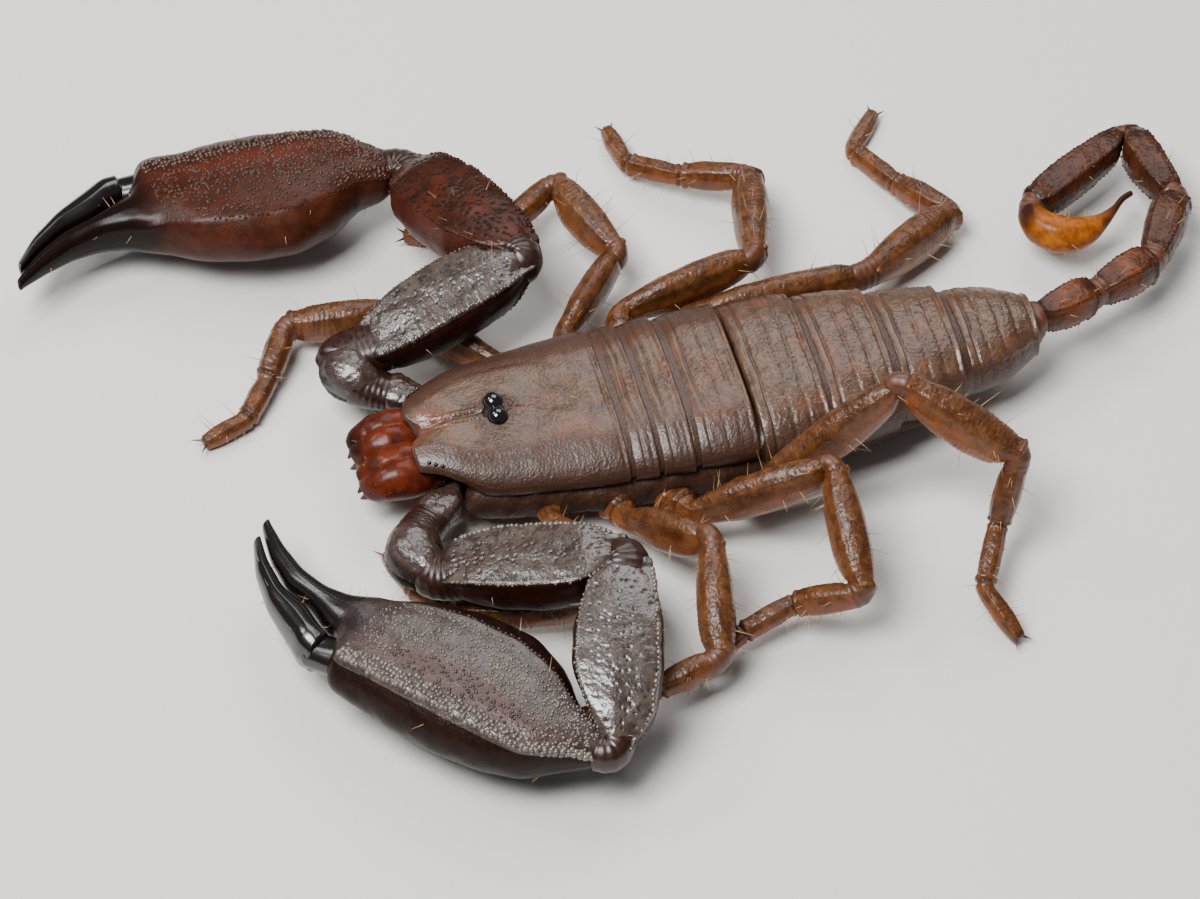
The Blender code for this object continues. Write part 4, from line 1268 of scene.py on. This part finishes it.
def lay_leg_part(node, course, salt, joints, around, ends, finish, bristles, knee=False):
    """One shell of a leg with its bristles: their number, lengths, salt and span."""
    right = "right" in node
    relief, paint = leg_parts(course, right, salt, joints)
    shell = roll_shell(course, round(course.full / LEG_RING), around, relief, paint, ends)
    if knee:
        stud(shell, course, (0.04, 0.05), (0.14, 0.36), 0.10, relief, KNOB, 0.8, (0.3, 0.5, 0.6))
    piece(node + "_shell", shell, finish, "leg_shell", node)
    COURSES[node] = course
    add_bristles("legs_right" if right else "legs_left", course, *bristles)


for side, number in LEG_SOLIDS:
    femur, patella, foot = (f"leg_{side}_{number}_{part}" for part in LEG_CHAIN)
    salt = number + (10 if side == "right" else 0)
    course = course_of(femur, far_end(femur, facing_end(femur, patella)), spare=(0.25, 0.06), flare=0.25)
    lay_leg_part(femur, course, salt, (HIP / course.full,), 84, (0.1, 0.14), "leg_shell",
                 (12, (0.25, 0.7), salt, (0.3, 0.95)))
    start = facing_end(patella, femur)
    course = course_of(patella, start, spare=(0.12, 0.06), flare=0.3, heading=straight(patella, start))
    lay_leg_part(patella, course, salt + 4, (), 96, (0.16, 0.12), "leg_shell",
                 (18, (0.25, 0.8), salt + 20), knee=True)
    course = course_of(foot, facing_end(foot, patella), spare=(0.12, -0.05), flare=0.15)
    lay_leg_part(foot, course, salt + 8, FOOT_JOINTS, 60, (0.14, 0.10), "foot_shell",
                 (34, (0.15, 0.6), salt + 30))
    tip, across = (Vector(found[0]) for found in course.stations(np.array([0.97]))[:2])
    for lean in (1, -1):
        way = Vector(course.aims[-1]) + across * lean * 0.65 + UP * 0.25
        set_part(claws, HOOK, tip + across * lean * 0.04, way, (0.055, 0.055, 0.40), (0.5, 0.5), lean=-UP)
piece("leg_claws", claws, "claw_horn", "leg_shell")
print("legs laid:", len(LEG_SOLIDS))

# %% [markdown]
# ## Tail and sting
# Five tail rings carry keels of small tubercles. The last piece is the telson: a round poison
# vesicle, orange and a little translucent, that narrows into the dark curved sting.

# %% Tail
TAIL_KEELS = (0.14, 0.36, 0.62, 0.88)
TAIL = [f"tail_{number}" for number in range(1, 6)]


def tail_parts(course, salt):
    """Relief and paint of a tail ring."""
    def relief(u, v, points):
        height = 0.012 * clouds(points, 0.2, salt) + 0.012 * grains(points, 0.09, salt)
        height += 0.04 * ridges(v, TAIL_KEELS, 0.022) - 0.03 * ridges(v, (0.25,), 0.05)
        height += 0.06 * bump_at(u, 0.62, 0.28) + 0.035 * bump_at((1 - u) * course.full, 0.18, 0.07)
        return height - 0.06 * bump_at(u * course.full, 0.12, 0.16)

    def paint(u, v, points):
        ends = bump_at((1 - u) * course.full, 0.06, 0.12) + bump_at(u * course.full, 0.1, 0.12)
        warm = (0.85 if salt < 3 else 0.25) * bump_at(u, 0.55, 0.3)
        return 0.5 * step_up(clouds(points, 0.3, salt), 0.0, 0.8) + 0.4 * ends, warm, 0.35

    return relief, paint


for number, (before, node) in enumerate(zip(["trunk_plate_7"] + TAIL, TAIL), start=1):
    start = facing_end(node, before)
    course = course_of(node, start, spare=(0.14, 0.06), flare=0.2, heading=straight(node, start))
    relief, paint = tail_parts(course, number)
    shell = roll_shell(course, round(course.full / TAIL_RING), 110, relief, paint, (0.2, 0.12))
    for keel in TAIL_KEELS:
        keel_row(shell, course, 0.18, 0.92, keel, 0.15, 0.045, 20 + number, relief)
    piece(node + "_shell", shell, "tail_shell", "tail_shell", node)
    COURSES[node] = course
    add_bristles("tail", course, 9, (0.2, 0.5), 90 + number)


# %% Telson
def telson_relief(u, v, points):
    """A smooth vesicle, and a sting drawn in to a thin spine."""
    drawn = step_up(u, 0.45, 0.7) * (1 - step_up(u, 0.8, 1.0))
    return 0.012 * clouds(points, 0.25, 3) * (1 - u) - 0.06 * drawn


def telson_paint(u, v, points):
    """Brown base, orange vesicle, dark sting."""
    brown = 0.75 * (1 - step_up(u, 0.06, 0.25)) + step_up(u, 0.55, 0.85)
    return brown + 0.4 * step_up(clouds(points, 0.4, 8), 0.1, 0.8), step_up(u, 0.5, 0.75), 0.4


course = course_of("telson", facing_end("telson", "tail_5"), spare=(0.12, 0.0))
shell = roll_shell(course, *GRIDS["telson"], telson_relief, telson_paint, (0.2, 0.06))
piece("telson_shell", shell, "sting_shell", "sting", "telson")
COURSES["telson"] = course
add_bristles("tail", course, 14, (0.15, 0.4), 99, (0.1, 0.6))

# %% [markdown]
# ## Joint skin
# Between two stiff pieces the cuticle stays soft. A dark wrinkled tube of this joint skin bends
# out of the end of each piece and into the start of the next, so no joint stands open. Its walls
# are the walls of both pieces, a little smaller, mixed along a curve between them.

# %% Joint skin
def joint_skins(chain, finish, slot, size=0.92, reach=4, depth=0.010, shade=0.0, around=48):
    """Bends a wrinkled tube of joint skin out of each piece of a chain and into the next."""
    for first, second in zip(chain, chain[1:]):
        bend = course_between(COURSES[first], COURSES[second], size, reach)

        def wrinkles(u, v, points):
            return depth * np.sin(u * bend.full * 40) * np.sin(u * math.pi)

        shell = roll_shell(bend, 28 if depth else 12, around, wrinkles,
                           lambda u, v, points: (shade, 0.1, 0.0), (0.1, 0.1))
        piece(f"{second}_joint", shell, finish, slot)


for side in SIDES:
    joint_skins([f"arm_{side}_{part}" for part in ARM_CHAIN + ("hand",)], "joint_skin", "arm_shell", 0.94, 5)
    for number in range(1, 5):
        chain = [f"leg_{side}_{number}_{part}" for part in LEG_CHAIN]
        joint_skins(chain, "knee_skin", "leg_shell")
# Between the plates the joint skin is painted dark, as the shade in the gaps between them.
joint_skins(["head_shield"] + PLATES, "back_shell", "back_shell", 0.960, 1, 0.0, 0.8, 160)
joint_skins(["trunk_plate_7", "tail_1"], "knee_skin", "tail_shell", 0.8, 2)
joint_skins(TAIL + ["telson"], "knee_skin", "tail_shell", 0.86, 3)

# %% [markdown]
# ## Flanks and coxae
# Under the edge of the back the flank is soft, dark and wrinkled; its darkness is partly its own
# colour and partly painted shade under that edge. Below it the first joints of the legs, the
# coxae, lie side by side like tiles and meet in the middle under the body.

# %% Flanks
FLANK_IN, FLANK_Z, FLANK_SIZE = 0.72, 1.18, (0.50, 0.52)


def shell_edge(node, y, sign):
    """The outermost point of a solid near a distance along the body."""
    near = [p for p in POINTS[node] if abs(p.y - y) < 0.45]
    return max(near, key=lambda p: p.x * sign)


def flank_paint(u, v, points):
    """Dark clouds."""
    return 0.3 * step_up(clouds(points, 0.4, 6), 0, 1), 0.2, 0.0


FLANK_SHARES = dict.fromkeys(["head_shield"] + PLATES[:6], (0.35, 0.85))
FLANK_SHARES["head_shield"] = (0.22, 0.42, 0.62, 0.86)
for side, sign in SIDES.items():
    places = []
    for node, shares in FLANK_SHARES.items():
        low, high = box_mm(node)
        for share in shares:
            y = low.y + (high.y - low.y) * share
            places.append(Vector((shell_edge(node, y, sign).x - sign * FLANK_IN, y, FLANK_Z)))
    course = course_along(places, [FLANK_SIZE] * len(places))
    shell = roll_shell(course, *GRIDS["flank"],
                       lambda u, v, p: 0.05 * clouds(p, 0.4, 6) + 0.03 * grains(p, 0.12, 6),
                       flank_paint, (0.4, 0.4))
    piece(f"flank_{side}", shell, "flank_shell", "back_shell")

# %% The first joint of each leg
COXA_SIZES = [(0.34, 0.34), (0.40, 0.40), (0.46, 0.40), (0.5, 0.38), (0.5, 0.36)]
for side, number in LEG_SOLIDS:
    femur = f"leg_{side}_{number}_femur"
    outer = Vector(COURSES[femur].line[2])
    inner = facing_end("coxae", femur)
    root = Vector((inner.x - SIDES[side] * 0.9, inner.y * 0.8 + (BODY.y - 1.2) * 0.2, 0.95))
    course = course_along([outer.lerp(root, k / 4) for k in range(5)], COXA_SIZES)
    relief, _ = leg_parts(course, side == "right", 50 + number)
    shell = roll_shell(course, *GRIDS["leg coxa"], relief,
                       lambda u, v, p: (0.3 * (1 - u), 0.8, 0.4), (0.12, 0.3))
    piece(f"leg_{side}_{number}_coxa", shell, "leg_shell", "leg_shell")

# %% Coxae under the body
course = course_of("coxae", face_end("coxae", -1), spare=(0.05, 0.05), heading=BACKWARD, soften=8)
LEG_ROWS = [facing_end(f"leg_left_{number}_femur", "coxae").y for number in range(1, 5)]
SEAMS = [(first + second) / 2 for first, second in zip(LEG_ROWS, LEG_ROWS[1:])]
print("seams between coxae at", [round(y - BODY.y, 2) for y in SEAMS])


def seams(points, width):
    """One in the grooves between the coxae."""
    return sum(bump_at(points[:, 1], seam, width) for seam in SEAMS)


def coxae_relief(u, v, points):
    """Rises to the flanks above, and is divided into four coxae each side by grooves."""
    height = 0.34 * np.clip(np.sin(v * math.tau), 0, 1) - 0.09 * seams(points, 0.09)
    height -= 0.06 * bump_at(points[:, 0] - BODY.x, 0, 0.08) * (v > 0.5)
    return height + 0.012 * clouds(points, 0.3, 8)


# The seams between the coxae are painted darker, as shade.
shell = roll_shell(course, *GRIDS["coxae"], coxae_relief,
                   lambda u, v, p: (0.8 * seams(p, 0.06), 0.4, 0.4), (0.3, 0.3))
piece("coxae_shell", shell, "belly_shell", "belly_shell", "coxae")

# %% Bristle pieces
for group, (bm, hosts) in BRISTLES.items():
    piece(f"bristles_{group}", bm, "hair", "leg_shell")
    print("bristles on", group, "over", len(hosts), "pieces")

# %% [markdown]
# ## Combs
# Behind the last coxae, under the body, hang the two pectines. Each is a pale bar with a row of
# rounded teeth along its back edge, which the animal brushes over the ground to taste it.

# %% Combs
COMB_TOOTH = (0.055, 0.05, 0.16)
for side in SIDES:
    node = f"pectine_{side}"
    inner = min(abs(p.x - BODY.x) for p in POINTS[node])
    course = course_of(node, middle_of([p for p in POINTS[node] if abs(p.x - BODY.x) < inner + 0.08]),
                    spare=(0.05, 0.0))
    shell = roll_shell(course, *GRIDS["comb"],
                       lambda u, v, p: -0.03 + 0.02 * np.cos(u * 40), None, (0.1, 0.1))
    for k in range(9):
        edges = (Vector(course.spots(0.12 + 0.09 * k, turn, 0.75)[0][0]) for turn in (0.0, 0.5))
        tooth = max(edges, key=lambda p: p.y) + Vector((0, 0.04, -0.01))
        set_part(shell, KNOB, tooth, (0, 1, -0.1), COMB_TOOTH, (0.5, 0.5))
    piece(f"{node}_comb", shell, "comb_shell", "belly_shell", node)
